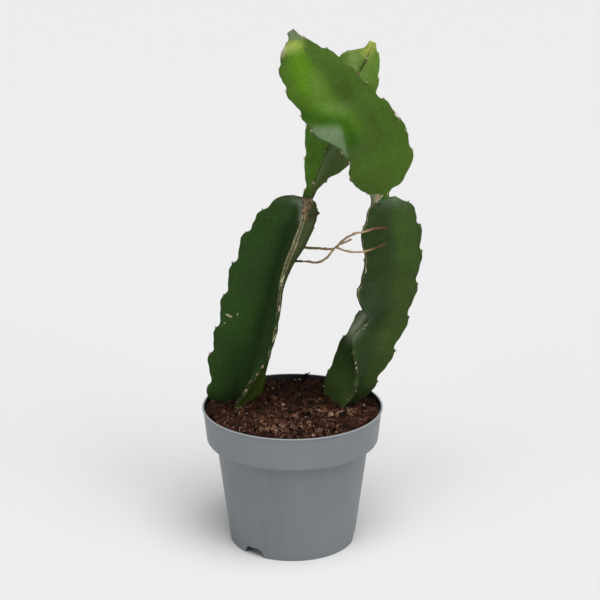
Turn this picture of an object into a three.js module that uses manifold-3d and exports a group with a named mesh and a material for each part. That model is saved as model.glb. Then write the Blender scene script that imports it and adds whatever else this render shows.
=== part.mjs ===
// A potted dragon fruit cactus: two three-winged cuttings in a nursery pot, each with one fresh
// shoot at its top. Millimetres, +Z up, origin at the centre of the pot's base. The front is -Y.
import * as THREE from "three";
import { mergeVertices } from "three/addons/utils/BufferGeometryUtils.js";
import Module from "manifold-3d";

const wasm = await Module();
wasm.setup();

// Gap between pieces that touch on the real plant.
const SEAT_GAP = 0.3;

// Pot: a 120 mm nursery pot.
const RIM_RADIUS = 60;
const POT_HEIGHT = 94;
const BASE_RADIUS = 42;
const NECK_RADIUS = 51;
const COLLAR_RADIUS = 57.2;
const COLLAR_BOTTOM = 71;
const POT_WALL = 1.2;
const FLOOR_BOTTOM = 7;
const FLOOR_THICKNESS = 1.6;
const FLOOR_TOP = FLOOR_BOTTOM + FLOOR_THICKNESS;
const CENTRE_FOOT_RADIUS = 9;
const LIP_HEIGHT = 1;
const POT_SIDES = 40;
const NOTCHES = 3;
const NOTCH_WIDTH = 17.3;
const NOTCH_TOP_WIDTH = 11.3;
const NOTCH_HEIGHT = 5.8;
const FIRST_NOTCH_BEARING = -127;
const DRAIN_HOLES = 6;
const DRAIN_HOLE_RADIUS = 3.5;
const DRAIN_RING_RADIUS = 27;

// Soil: its surface swells a little towards the left, the back and the right.
const SOIL_EDGE_HEIGHT = 89.6;
const SOIL_MOUND = 0.8;
const SOIL_SWELL = 1.1;
const SOIL_LUMP = 1.1;
const SOIL_RINGS = 8;
const SOIL_SIDES = 36;
const HOLE_GAP = 0.6;

// Stems: how finely a winged stem is divided.
const TIP_POINTS = 3;
const FLANK_POINTS = 3;
const CAP_RINGS = 3;

// Section of a stem: how full a wing's flanks are, and how round the valleys between wings are.
const WEB_FULLNESS = 0.1;
const VALLEY_ROUNDNESS = 0.62;
const VALLEY_SHARE = 0.85;
const THINNEST_CORE = 0.35;

// How a stem narrows where its top rounds over, and the shape of a margin's wave.
const CAP_CORE = 0.7;
const CAP_RIM = 0.4;
const LEAST_REACH = 1.02;
const RIM_OF_REACH = 0.4;
const WAVE_OVERTONE = 0.35;
const WAVE_PEAK = 1.15;

// Spines: short, two at an areole.
const SPINE_LENGTH = 2.6;
const SPINE_RADIUS = 0.7;
const SPINE_ROOT = 1.6;
const SPINE_SPREAD = 38;
const SPINE_LEAN = 0.35;
const SPINES_AT_AREOLE = 2;

// Each winged stem: the axis of its woody core from bottom to top, the radius of the core and of
// the wing's rim, where its top starts to round over, and its three wings. Keys are [t, value],
// with t from 0 at the bottom to 1 at the top. A bearing is in degrees from +X, seen from above;
// a reach is the wing's radius from the axis; areoles are the places of the spine cushions.
const stemLeft = {
  axis: [
    [-31, 20, 60],
    [-29, 19, 92],
    [-19, 15, 134],
    [-12, 12, 163],
    [-6, 9, 190],
    [2, 7, 215],
    [7, 6, 231],
    [8, 6, 234.2],
  ],
  core: [[0, 7], [0.2, 8.5], [0.5, 9.5], [0.85, 9], [1, 8]],
  rim: 1.6,
  capStart: 0.965,
  rings: 34,
  wings: [
    {
      bearing: [[0, 180], [0.167, 196], [0.343, 188], [0.59, 182], [1, 180]],
      reach: [
        [0, 9], [0.079, 16], [0.167, 27.5], [0.25, 30.7], [0.33, 33], [0.42, 33.2], [0.589, 33],
        [0.67, 32.4], [0.736, 31.2], [0.8, 29.4], [0.854, 26.9], [0.922, 22.6], [1, 14],
      ],
      scallop: 1.5,
      areoles: [0.02, 0.113, 0.216, 0.329, 0.437, 0.569, 0.702, 0.81, 0.913],
    },
    {
      bearing: [
        [0, -90], [0.167, -116], [0.245, -105], [0.324, -95], [0.412, -82], [0.54, -82],
        [0.736, -90], [1, -84],
      ],
      reach: [[0, 12], [0.167, 20], [0.343, 24], [0.59, 24], [0.834, 23], [0.922, 20], [1, 13]],
      scallop: 1,
      areoles: [0.059, 0.162, 0.26, 0.343, 0.427, 0.54, 0.638, 0.711, 0.785, 0.878, 0.952],
    },
    {
      bearing: [
        [0, 60], [0.177, 58], [0.343, 68], [0.49, 78], [0.608, 78], [0.707, 70], [0.785, 61],
        [1, 56],
      ],
      reach: [
        [0, 9], [0.177, 14], [0.294, 18], [0.442, 20], [0.638, 23.3], [0.72, 24.2],
        [0.785, 25.2], [0.84, 25], [0.88, 26.2], [0.92, 23.2], [0.95, 19.6], [1, 12],
      ],
      scallop: 0.9,
      areoles: [0.098, 0.236, 0.363, 0.49, 0.618, 0.746, 0.864, 0.942],
    },
  ],
};

const stemRight = {
  axis: [
    [32, 20, 60],
    [35, 18, 92],
    [46, 15, 124],
    [57, 12, 150],
    [62, 10, 171],
    [64, 8, 199],
    [62.7, 7.6, 223],
    [61, 9.6, 234],
  ],
  core: [[0, 7], [0.2, 8.5], [0.5, 9.5], [0.85, 9.5], [0.96, 9], [1, 6]],
  rim: 1.6,
  capStart: 0.965,
  rings: 36,
  wings: [
    {
      bearing: [[0, 10], [1, 0]],
      reach: [
        [0, 7.5], [0.09, 11], [0.18, 15], [0.27, 17.2], [0.36, 19.4], [0.42, 19.6],
        [0.55, 18.4], [0.68, 19], [0.81, 20], [0.9, 18.8], [0.95, 15.6], [1, 8.6],
      ],
      scallop: 1.15,
      areoles: [0.04, 0.16, 0.28, 0.43, 0.56, 0.68, 0.8, 0.89, 0.97],
    },
    // The front wing is pinched in at about half its height.
    {
      bearing: [
        [0, -100], [0.17, -96], [0.25, -86], [0.32, -92], [0.38, -104], [0.43, -118],
        [0.47, -128], [0.505, -131], [0.54, -124], [0.6, -130], [0.66, -142], [0.72, -141],
        [0.78, -132], [0.84, -138], [0.92, -140], [0.96, -143], [1, -132],
      ],
      reach: [
        [0, 10], [0.17, 20], [0.35, 23], [0.44, 26], [0.47, 25], [0.505, 16], [0.545, 16],
        [0.6, 24.6], [0.66, 25.2], [0.71, 23.8], [0.78, 25.2], [0.86, 25.2], [0.9, 24],
        [0.94, 20.4], [0.97, 17.6], [1, 16],
      ],
      scallop: 0.9,
      areoles: [0.03, 0.165, 0.3, 0.42, 0.53, 0.67, 0.8, 0.92],
    },
    {
      bearing: [[0, 140], [0.3, 135], [1, 128]],
      reach: [
        [0, 10], [0.18, 18.5], [0.35, 19], [0.47, 17.3], [0.54, 16.5], [0.62, 19.5], [0.85, 22],
        [0.9, 21.6], [0.94, 18.4], [1, 15],
      ],
      scallop: 1,
      areoles: [0.1, 0.235, 0.38, 0.5, 0.62, 0.74, 0.86, 0.96],
    },
  ],
};

const shootLeft = {
  axis: [
    [9, 8.5, 230],
    [15, 12, 246],
    [21, 15, 261],
    [29.5, 19, 283],
    [38, 21, 305],
    [46, 21, 321],
    [51.5, 20, 333],
  ],
  core: [[0, 2.8], [0.12, 3.4], [0.3, 5.5], [0.6, 7], [0.85, 6], [1, 2.4]],
  rim: 1.1,
  capStart: 0.95,
  rings: 27,
  wings: [
    {
      bearing: [[0, 180], [1, 180]],
      reach: [
        [0, 3], [0.08, 3.9], [0.14, 6.5], [0.24, 11], [0.33, 15], [0.42, 17.3], [0.59, 18.8],
        [0.76, 17.5], [0.84, 15.2], [0.9, 11], [0.95, 4], [1, 2.2],
      ],
      scallop: 0.7,
      areoles: [0.07, 0.24, 0.42, 0.59, 0.76, 0.89],
    },
    {
      bearing: [[0, -93], [0.4, -92], [0.6, -94], [1, -91]],
      reach: [
        [0, 3], [0.12, 5.2], [0.29, 13], [0.46, 17], [0.66, 17], [0.82, 12], [0.93, 6], [1, 3],
      ],
      scallop: 0.7,
      areoles: [0.13, 0.32, 0.5, 0.67, 0.82, 0.91],
    },
    {
      bearing: [[0, 30], [1, 30]],
      reach: [
        [0, 2.8], [0.08, 3.4], [0.12, 5], [0.18, 9.8], [0.24, 15.4], [0.33, 20.4], [0.51, 21.2],
        [0.68, 20.6], [0.78, 18], [0.87, 13.6], [0.93, 8.2], [1, 2.8],
      ],
      scallop: 0.7,
      areoles: [0.16, 0.34, 0.51, 0.67, 0.81, 0.94],
    },
  ],
};

const shootRight = {
  axis: [
    [54.3, 4, 229],
    [54.8, -1, 240.5],
    [55, -7, 258],
    [45, -12, 283],
    [33, -14, 300],
    [16, -14, 321],
    [-1, -12, 345.4],
  ],
  core: [[0, 3.8], [0.08, 3.9], [0.17, 5.7], [0.51, 8], [0.804, 7], [0.931, 4.5], [1, 2.4]],
  rim: 1.2,
  capStart: 0.95,
  rings: 42,
  wings: [
    {
      bearing: [[0, -45], [0.08, -42], [0.16, -5], [0.24, 12], [0.5, 15], [1, 20]],
      reach: [
        [0, 4.4], [0.07, 4.4], [0.085, 7.8], [0.11, 7], [0.13, 9], [0.15, 13.6], [0.165, 15.4],
        [0.185, 16.6], [0.236, 22.3], [0.334, 24], [0.432, 22.3], [0.54, 19.8], [0.667, 17.6],
        [0.785, 15.6], [0.873, 10.4], [0.931, 5.4], [1, 2.6],
      ],
      scallop: 0.8,
      areoles: [0.119, 0.256, 0.393, 0.491, 0.594, 0.701, 0.838, 0.941],
    },
    {
      bearing: [
        [0, -150], [0.236, -158], [0.334, -150], [0.393, -134], [0.442, -126], [0.53, -126],
        [0.589, -142], [0.647, -162], [1, -175],
      ],
      reach: [
        [0, 4.8], [0.085, 4.8], [0.1, 7.4], [0.115, 12], [0.13, 14.4], [0.15, 16.8],
        [0.2, 19.4], [0.24, 20.8], [0.27, 20.2], [0.3, 18.3], [0.324, 17.4], [0.393, 22],
        [0.452, 26.5], [0.51, 30.3], [0.559, 31], [0.628, 27.3], [0.696, 25.2], [0.775, 23.8],
        [0.873, 19.6], [0.931, 13.2], [0.961, 6.4], [1, 2.4],
      ],
      scallop: 0.9,
      areoles: [0.099, 0.217, 0.334, 0.442, 0.603, 0.677, 0.794, 0.887, 0.961],
    },
    {
      bearing: [[0, 110], [1, 110]],
      reach: [
        [0, 4.2], [0.08, 4.3], [0.12, 9], [0.236, 14], [0.51, 15], [0.785, 13], [0.922, 9],
        [1, 4],
      ],
      scallop: 1,
      areoles: [0.158, 0.295, 0.432, 0.56, 0.696, 0.824, 0.941],
    },
  ],
};

// Air roots: routes of their centre lines, from the left stem's back wing to the free ends that
// lie just in front of the right stem, each with its thickness.
const ROOT_SIDES = 6;
const airRoots = [
  {
    thickness: 1.6,
    route: [
      [6.5, 27, 195.3],
      [15.5, 16, 198],
      [27, 2, 202],
      [34.5, -7, 211.5],
      [39.5, -10, 215.2],
      [47, -11.1, 217.2],
      [54, -7.3, 218],
      [61, -3.8, 217.5],
    ],
  },
  {
    thickness: 1.5,
    route: [
      [1.5, 28, 185.5],
      [8, 18, 188.4],
      [15.5, 10, 190],
      [21, 5, 193.5],
      [27.5, 1.5, 202],
    ],
  },
  {
    thickness: 1.3,
    route: [
      [28, 1, 203],
      [33.3, -6, 203],
      [38.6, -10, 203],
      [46, -12.5, 204.2],
      [53.5, -9, 205.5],
      [60.3, -5, 207.3],
    ],
  },
  {
    thickness: 1.2,
    route: [
      [31, -3.5, 206.5],
      [34.5, -9, 209.5],
      [38, -15, 213],
    ],
  },
];

// The stub of a dead air root on the left stem's top.
const rootStub = { thickness: 2.2, route: [[9, 8, 221], [15, 10, 222], [17.6, 10.5, 223.7]] };

const colours = {
  pot: 0x6f7b80,
  soil: 0x2e2019,
  stemLeft: 0x2b4a24,
  stemRight: 0x35522a,
  shootLeft: 0x4c7a2e,
  shootRight: 0x4f7f2f,
  airRoots: 0x9a7450,
};

const degrees = (angle) => (angle * Math.PI) / 180;

// Smooth curve through [t, value] keys.
function keyed(keys, t) {
  const last = keys.length - 1;
  const at = Math.min(Math.max(t, keys[0][0]), keys[last][0]);
  let i = 0;
  while (i < last - 1 && at >= keys[i + 1][0]) i += 1;
  const slope = (j) => {
    const before = keys[Math.max(j - 1, 0)];
    const after = keys[Math.min(j + 1, last)];
    return (after[1] - before[1]) / (after[0] - before[0]);
  };
  const span = keys[i + 1][0] - keys[i][0];
  const u = (at - keys[i][0]) / span;
  const rise = u * u * (3 - 2 * u);
  const leaving = slope(i) * span * u * (1 - u) * (1 - u);
  const arriving = slope(i + 1) * span * u * u * (u - 1);
  return keys[i][1] * (1 - rise) + keys[i + 1][1] * rise + leaving + arriving;
}

// Point of a stem's axis, its points being keyed by their distance along it.
function axisPoint(axis, t) {
  const lengths = [0];
  for (let i = 1; i < axis.length; i += 1) {
    const step = new THREE.Vector3(...axis[i]).distanceTo(new THREE.Vector3(...axis[i - 1]));
    lengths.push(lengths[i - 1] + step);
  }
  const total = lengths.at(-1);
  const coordinate = (c) => keyed(axis.map((p, i) => [lengths[i] / total, p[c]]), t);
  return new THREE.Vector3(coordinate(0), coordinate(1), coordinate(2));
}

// Axis point with the stem's own directions there: along it, and two across it.
function frameAt(stem, t) {
  const step = 1e-3;
  const centre = axisPoint(stem.axis, t);
  const ahead = axisPoint(stem.axis, Math.min(t + step, 1));
  const behind = axisPoint(stem.axis, Math.max(t - step, 0));
  const along = ahead.sub(behind).normalize();
  const right = new THREE.Vector3(1, 0, 0).addScaledVector(along, -along.x).normalize();
  const away = new THREE.Vector3().crossVectors(along, right);
  return { centre, along, right, away };
}

// Waved margin: 0 at an areole, fullest just below it and drawn in just above it.
function marginWave(areoles, t) {
  let i = 0;
  while (i < areoles.length - 2 && t >= areoles[i + 1]) i += 1;
  const u = (t - areoles[i]) / (areoles[i + 1] - areoles[i]);
  const fade = Math.max(0, Math.min(1, 1 + u, 2 - u));
  const wave = Math.sin(2 * Math.PI * u) + WAVE_OVERTONE * Math.sin(4 * Math.PI * u);
  return (-fade * wave) / WAVE_PEAK;
}

// How much of the full section is left where the top rounds over.
function capShare(stem, t) {
  const over = Math.max(0, (t - stem.capStart) / (1 - stem.capStart));
  return Math.sqrt(Math.max(0, 1 - over * over));
}

// Wings at height t, by bearing in radians, with their reach before and after the margin's wave.
function wingsAt(stem, t) {
  const cap = capShare(stem, t);
  const core = keyed(stem.core, t);
  return stem.wings
    .map((wing) => {
      const smooth = keyed(wing.reach, t);
      const waved = smooth + wing.scallop * marginWave(wing.areoles, t);
      const capped = core * CAP_CORE + (waved - core * CAP_CORE) * cap;
      return {
        bearing: degrees(keyed(wing.bearing, t)),
        reach: Math.max(capped, core * LEAST_REACH),
      };
    })
    .sort((a, b) => a.bearing - b.bearing);
}

// Point of a section, from its bearing in radians and its distance from the axis.
function polar(bearing, radius) {
  return new THREE.Vector2(radius * Math.cos(bearing), radius * Math.sin(bearing));
}

// Points of one flank, from a wing's rim down to the valley between it and its neighbour.
function flank(wing, rim, grow, valley, side) {
  const across = polar(wing.bearing + Math.PI / 2, side);
  const depth = Math.max(wing.reach - valley.depth, 0);
  const start = polar(wing.bearing, wing.reach - rim).addScaledVector(across, rim + grow);
  const leave = start.clone().sub(polar(wing.bearing, 0.5 * depth));
  leave.addScaledVector(across, WEB_FULLNESS * depth);
  const end = polar(valley.bearing, valley.radius);
  const along = polar(valley.bearing + Math.PI / 2, side);
  const arrive = end.clone().addScaledVector(along, -VALLEY_ROUNDNESS * valley.radius);
  const curve = new THREE.CubicBezierCurve(start, leave, arrive, end);
  return curve.getPoints(FLANK_POINTS).slice(1);
}

// Outline of a stem's section: three thin wings on a rounded core.
function sectionAt(stem, t, grow) {
  const cap = capShare(stem, t);
  const core = keyed(stem.core, t) * (THINNEST_CORE + (1 - THINNEST_CORE) * cap);
  const wings = wingsAt(stem, t);
  const widest = stem.rim * (CAP_RIM + (1 - CAP_RIM) * cap);
  const rimOf = (wing) => Math.min(widest, wing.reach * RIM_OF_REACH);
  const outline = [];
  wings.forEach((wing, i) => {
    const next = { ...wings[(i + 1) % wings.length] };
    if (i === wings.length - 1) next.bearing += 2 * Math.PI;
    for (let j = 0; j < TIP_POINTS; j += 1) {
      const turn = -Math.PI / 2 + (Math.PI * j) / (TIP_POINTS - 1);
      const rim = rimOf(wing);
      outline.push(polar(wing.bearing, wing.reach - rim).add(polar(wing.bearing + turn, rim + grow)));
    }
    const middle = (wing.bearing + next.bearing) / 2;
    const chord = ((wing.reach + next.reach) / 2) * Math.cos((next.bearing - wing.bearing) / 2);
    const radius = Math.min(core, Math.max(VALLEY_SHARE * chord, THINNEST_CORE * core));
    const valley = { bearing: middle, radius: radius + grow, depth: core };
    outline.push(...flank(wing, rimOf(wing), grow, valley, 1));
    outline.push(...flank(next, rimOf(next), grow, valley, -1).slice(0, -1).reverse());
  });
  return outline;
}

// Heights of the rings: even along the stem, then closer over its rounded top.
function ringHeights(stem) {
  const heights = [];
  for (let i = 0; i < stem.rings; i += 1) heights.push((stem.capStart * i) / (stem.rings - 1));
  for (let i = 1; i <= CAP_RINGS; i += 1) {
    heights.push(stem.capStart + (1 - stem.capStart) * Math.sin((Math.PI / 2) * (i / CAP_RINGS)));
  }
  return heights;
}

const solidOf = (positions, triangles) =>
  new wasm.Manifold(
    new wasm.Mesh({
      numProp: 3,
      vertProperties: new Float32Array(positions),
      triVerts: new Uint32Array(triangles),
    }),
  );

// Closed solid through rings of points that all have the same number of points.
function solidThroughRings(rings, bottom, top) {
  const count = rings[0].length;
  const positions = rings.flat().flatMap((p) => [p.x, p.y, p.z]);
  const bottomIndex = positions.length / 3;
  positions.push(bottom.x, bottom.y, bottom.z, top.x, top.y, top.z);
  const triangles = [];
  for (let j = 0; j < count; j += 1) {
    const k = (j + 1) % count;
    for (let i = 0; i < rings.length - 1; i += 1) {
      const [a, b] = [i * count, (i + 1) * count];
      triangles.push(a + j, a + k, b + k, a + j, b + k, b + j);
    }
    const last = (rings.length - 1) * count;
    triangles.push(bottomIndex, k, j, bottomIndex + 1, last + j, last + k);
  }
  return solidOf(positions, triangles);
}

// Winged body of a stem, or with grow the same body that much fatter all round.
function stemBody(stem, grow = 0) {
  const rings = ringHeights(stem).map((t) => {
    const { centre, right, away } = frameAt(stem, t);
    return sectionAt(stem, t, grow).map((p) =>
      centre.clone().addScaledVector(right, p.x).addScaledVector(away, p.y),
    );
  });
  const foot = frameAt(stem, 0);
  const head = frameAt(stem, 1);
  rings[0].forEach((p) => p.addScaledVector(foot.along, -grow));
  rings.at(-1).forEach((p) => p.addScaledVector(head.along, grow));
  return solidThroughRings(
    rings,
    foot.centre.addScaledVector(foot.along, -grow),
    head.centre.addScaledVector(head.along, grow),
  );
}

// Three-sided spine whose root is sunk in the wing's rim.
function spine(foot, direction) {
  const across = new THREE.Vector3(0, 0, 1).cross(direction).normalize();
  const up = new THREE.Vector3().crossVectors(direction, across);
  const root = foot.clone().addScaledVector(direction, -SPINE_ROOT);
  const ring = [0, 1, 2].map((k) => {
    const turn = (2 * Math.PI * k) / 3;
    return root
      .clone()
      .addScaledVector(across, Math.cos(turn) * SPINE_RADIUS)
      .addScaledVector(up, Math.sin(turn) * SPINE_RADIUS);
  });
  const tip = foot.clone().addScaledVector(direction, SPINE_LENGTH);
  return solidOf([...ring, tip].flatMap((p) => [p.x, p.y, p.z]), [0, 2, 1, 0, 1, 3, 1, 2, 3, 2, 0, 3]);
}

// Spines of all areoles above a given height, spread like a fan along the margin.
function spinesOf(stem, lowest) {
  const spines = [];
  for (const wing of stem.wings) {
    for (const t of wing.areoles) {
      const { centre, along, right, away } = frameAt(stem, t);
      const bearing = degrees(keyed(wing.bearing, t));
      const out = right.clone().multiplyScalar(Math.cos(bearing)).addScaledVector(away, Math.sin(bearing));
      const side = new THREE.Vector3().crossVectors(along, out);
      const core = keyed(stem.core, t) * CAP_CORE;
      const reach = core + (keyed(wing.reach, t) - core) * capShare(stem, t);
      const foot = centre.clone().addScaledVector(out, reach);
      if (foot.z < lowest) continue;
      for (let k = 0; k < SPINES_AT_AREOLE; k += 1) {
        const turn = degrees(SPINE_SPREAD) * (k - (SPINES_AT_AREOLE - 1) / 2);
        const lean = k % 2 ? -SPINE_LEAN : SPINE_LEAN;
        const direction = out
          .clone()
          .multiplyScalar(Math.cos(turn))
          .addScaledVector(along, Math.sin(turn))
          .addScaledVector(side, lean)
          .normalize();
        spines.push(spine(foot, direction));
      }
    }
  }
  return spines;
}

// three.js geometry as a manifold solid, and back.
function toSolid(geometry) {
  const plain = geometry.clone();
  plain.deleteAttribute("normal");
  plain.deleteAttribute("uv");
  const merged = mergeVertices(plain, 1e-4);
  return solidOf(merged.attributes.position.array, merged.index.array);
}

function toMesh(name, solid, colour, roughness) {
  const mesh = solid.getMesh();
  const geometry = new THREE.BufferGeometry();
  geometry.setAttribute("position", new THREE.BufferAttribute(mesh.vertProperties, mesh.numProp));
  geometry.setIndex(new THREE.BufferAttribute(mesh.triVerts, 1));
  geometry.computeVertexNormals();
  const made = new THREE.Mesh(geometry, new THREE.MeshStandardMaterial({ color: colour, roughness }));
  made.name = name;
  return made;
}

const union = (solids) => solids.reduce((all, next) => all.add(next));

// Pot: its wall runs down past the raised floor as a notched foot, with a small foot at the centre.
function potSolid() {
  const wallAt = (height) =>
    BASE_RADIUS + ((NECK_RADIUS - BASE_RADIUS) * height) / COLLAR_BOTTOM - POT_WALL;
  const under = [
    [0, 0],
    [CENTRE_FOOT_RADIUS, 0],
    [CENTRE_FOOT_RADIUS, FLOOR_BOTTOM],
    [wallAt(FLOOR_BOTTOM), FLOOR_BOTTOM],
    [wallAt(0), 0],
  ];
  const outer = [
    [BASE_RADIUS, 0],
    [NECK_RADIUS, COLLAR_BOTTOM],
    [COLLAR_RADIUS - 0.8, COLLAR_BOTTOM],
    [COLLAR_RADIUS, COLLAR_BOTTOM + 1.2],
    [RIM_RADIUS - 0.7, POT_HEIGHT - LIP_HEIGHT],
    [RIM_RADIUS, POT_HEIGHT - LIP_HEIGHT],
    [RIM_RADIUS, POT_HEIGHT],
  ];
  const inner = [
    [RIM_RADIUS - 1.4, POT_HEIGHT],
    [COLLAR_RADIUS - POT_WALL, COLLAR_BOTTOM + POT_WALL + 1],
    [COLLAR_RADIUS - POT_WALL - 0.8, COLLAR_BOTTOM + POT_WALL],
    [NECK_RADIUS - POT_WALL, COLLAR_BOTTOM + POT_WALL],
    [wallAt(FLOOR_TOP), FLOOR_TOP],
    [0, FLOOR_TOP],
  ];
  const profile = [...under, ...outer, ...inner];
  const points = profile.map(([radius, height]) => new THREE.Vector2(radius, height));
  const lathe = new THREE.LatheGeometry(points, POT_SIDES).rotateX(Math.PI / 2);
  let pot = toSolid(lathe);
  const spread = (NOTCH_WIDTH - NOTCH_TOP_WIDTH) / NOTCH_HEIGHT;
  const corners = [
    new THREE.Vector2(-NOTCH_WIDTH / 2 - spread / 2, -1),
    new THREE.Vector2(NOTCH_WIDTH / 2 + spread / 2, -1),
    new THREE.Vector2(NOTCH_TOP_WIDTH / 2, NOTCH_HEIGHT),
    new THREE.Vector2(-NOTCH_TOP_WIDTH / 2, NOTCH_HEIGHT),
  ];
  for (let k = 0; k < NOTCHES; k += 1) {
    const outline = new THREE.Shape(corners);
    const notch = new THREE.ExtrudeGeometry(outline, { depth: BASE_RADIUS, bevelEnabled: false });
    notch.rotateX(Math.PI / 2).rotateZ(Math.PI / 2).translate(BASE_RADIUS / 2, 0, 0);
    notch.rotateZ(degrees(FIRST_NOTCH_BEARING + (360 * k) / NOTCHES));
    pot = pot.subtract(toSolid(notch));
  }
  for (let k = 0; k < DRAIN_HOLES; k += 1) {
    const hole = new THREE.CylinderGeometry(DRAIN_HOLE_RADIUS, DRAIN_HOLE_RADIUS, 2 * FLOOR_TOP, 12);
    hole.rotateX(Math.PI / 2).translate(DRAIN_RING_RADIUS, 0, FLOOR_TOP);
    hole.rotateZ(degrees((360 * k) / DRAIN_HOLES));
    pot = pot.subtract(toSolid(hole));
  }
  return pot;
}

// Height of the soil's surface: a low mound on a broad swell, with lumps from a few crossed waves.
function soilHeight(x, y) {
  const share = 1 - (x * x + y * y) / (RIM_RADIUS * RIM_RADIUS);
  const coarse = Math.sin(0.31 * x + 1.3) * Math.cos(0.27 * y - 0.4);
  const fine = Math.sin(0.74 * x - 0.5 * y) * Math.cos(0.66 * y + 0.35 * x + 2);
  const lumps = SOIL_LUMP * (0.6 * coarse + 0.4 * fine) * Math.min(1, 2 * share);
  const swell = SOIL_SWELL * Math.cos(0.08 * y - 0.05 * x - 3.8);
  return SOIL_EDGE_HEIGHT + SOIL_MOUND * share + swell + lumps;
}

// Soil: fills the pot up to its surface, with a hole for each stem.
function soilSolid(stems) {
  const wallShare = (SOIL_EDGE_HEIGHT - COLLAR_BOTTOM) / (POT_HEIGHT - COLLAR_BOTTOM);
  const surfaceRadius =
    COLLAR_RADIUS - POT_WALL + (RIM_RADIUS - 1.4 - COLLAR_RADIUS + POT_WALL) * wallShare - 2 * SEAT_GAP;
  const side = [
    [BASE_RADIUS - POT_WALL, FLOOR_TOP + SEAT_GAP],
    [NECK_RADIUS - POT_WALL - 0.4, COLLAR_BOTTOM + POT_WALL],
    [NECK_RADIUS - POT_WALL - 0.4, COLLAR_BOTTOM + POT_WALL + SEAT_GAP],
    [COLLAR_RADIUS - POT_WALL - 1.4, COLLAR_BOTTOM + POT_WALL + SEAT_GAP],
    [COLLAR_RADIUS - POT_WALL - 0.5, COLLAR_BOTTOM + POT_WALL + 1.4],
  ];
  const ringOf = (radius, height) =>
    Array.from({ length: SOIL_SIDES }, (_, k) => {
      const flat = polar((2 * Math.PI * k) / SOIL_SIDES, radius);
      return new THREE.Vector3(flat.x, flat.y, height ?? soilHeight(flat.x, flat.y));
    });
  const rings = side.map(([radius, height]) => ringOf(radius, height));
  for (let i = 0; i < SOIL_RINGS; i += 1) rings.push(ringOf(surfaceRadius * (1 - i / SOIL_RINGS)));
  const bottom = new THREE.Vector3(0, 0, FLOOR_TOP + SEAT_GAP);
  const soil = solidThroughRings(rings, bottom, new THREE.Vector3(0, 0, soilHeight(0, 0)));
  return stems.reduce((left, stem) => left.subtract(stemBody(stem, HOLE_GAP)), soil);
}

// Round root along a route.
function rootSolid({ thickness, route }) {
  const section = new THREE.Shape(
    Array.from({ length: ROOT_SIDES }, (_, k) => polar((2 * Math.PI * k) / ROOT_SIDES, thickness / 2)),
  );
  const path = new THREE.CatmullRomCurve3(route.map((p) => new THREE.Vector3(...p)));
  const steps = 2 * (route.length - 1);
  return toSolid(new THREE.ExtrudeGeometry(section, { steps, extrudePath: path, bevelEnabled: false }));
}

const leftBody = union([stemBody(stemLeft), rootSolid(rootStub)]);
const leftStem = union([leftBody, ...spinesOf(stemLeft, POT_HEIGHT)]);
const rightStem = union([stemBody(stemRight), ...spinesOf(stemRight, POT_HEIGHT)]);

// Each shoot's neck ends on its stem's top, and the roots end on the left stem's wing.
const shootOn = (shoot, stem) =>
  union([stemBody(shoot), ...spinesOf(shoot, 0)]).subtract(stemBody(stem, SEAT_GAP));
const roots = union(airRoots.map(rootSolid)).subtract(stemBody(stemLeft, SEAT_GAP));

const group = new THREE.Group();
group.add(
  toMesh("pot", potSolid(), colours.pot, 0.5),
  toMesh("soil", soilSolid([stemLeft, stemRight]), colours.soil, 0.95),
  toMesh("stem_left", leftStem, colours.stemLeft, 0.5),
  toMesh("shoot_left", shootOn(shootLeft, stemLeft), colours.shootLeft, 0.4),
  toMesh("stem_right", rightStem, colours.stemRight, 0.5),
  toMesh("shoot_right", shootOn(shootRight, stemRight), colours.shootRight, 0.4),
  toMesh("aerial_roots", roots, colours.airRoots, 0.8),
);

export default group;
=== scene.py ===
# Looks of a potted dragon fruit cactus: two three-winged cuttings in a nursery pot, each with a
# fresh shoot. Shapes are worked out in millimetres and written in metres. The front is -Y.
import math
from collections import namedtuple

import bmesh
import bpy
import numpy as np
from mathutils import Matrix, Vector, noise
from mathutils.bvhtree import BVHTree


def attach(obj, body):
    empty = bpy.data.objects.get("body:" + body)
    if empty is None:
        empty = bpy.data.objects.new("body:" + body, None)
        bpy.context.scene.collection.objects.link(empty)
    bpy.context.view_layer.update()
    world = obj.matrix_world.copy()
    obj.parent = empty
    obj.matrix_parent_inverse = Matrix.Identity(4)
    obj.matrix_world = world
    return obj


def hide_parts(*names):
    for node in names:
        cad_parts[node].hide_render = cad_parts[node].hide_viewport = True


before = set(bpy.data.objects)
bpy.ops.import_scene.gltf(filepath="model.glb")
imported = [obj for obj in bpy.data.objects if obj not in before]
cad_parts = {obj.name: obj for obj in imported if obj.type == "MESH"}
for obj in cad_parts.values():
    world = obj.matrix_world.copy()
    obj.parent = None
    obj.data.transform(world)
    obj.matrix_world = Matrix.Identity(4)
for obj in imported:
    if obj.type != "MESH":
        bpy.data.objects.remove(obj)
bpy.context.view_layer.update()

MM = 0.001

# Camera: in front of the pot, looking down a little. Its focal length is in image widths.
CAMERA_PLACE = (5, -1100, 527)
CAMERA_PITCH = 18.1
FOCAL_SHARE = 1774 / 600
SENSOR_WIDTH = 36

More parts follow.
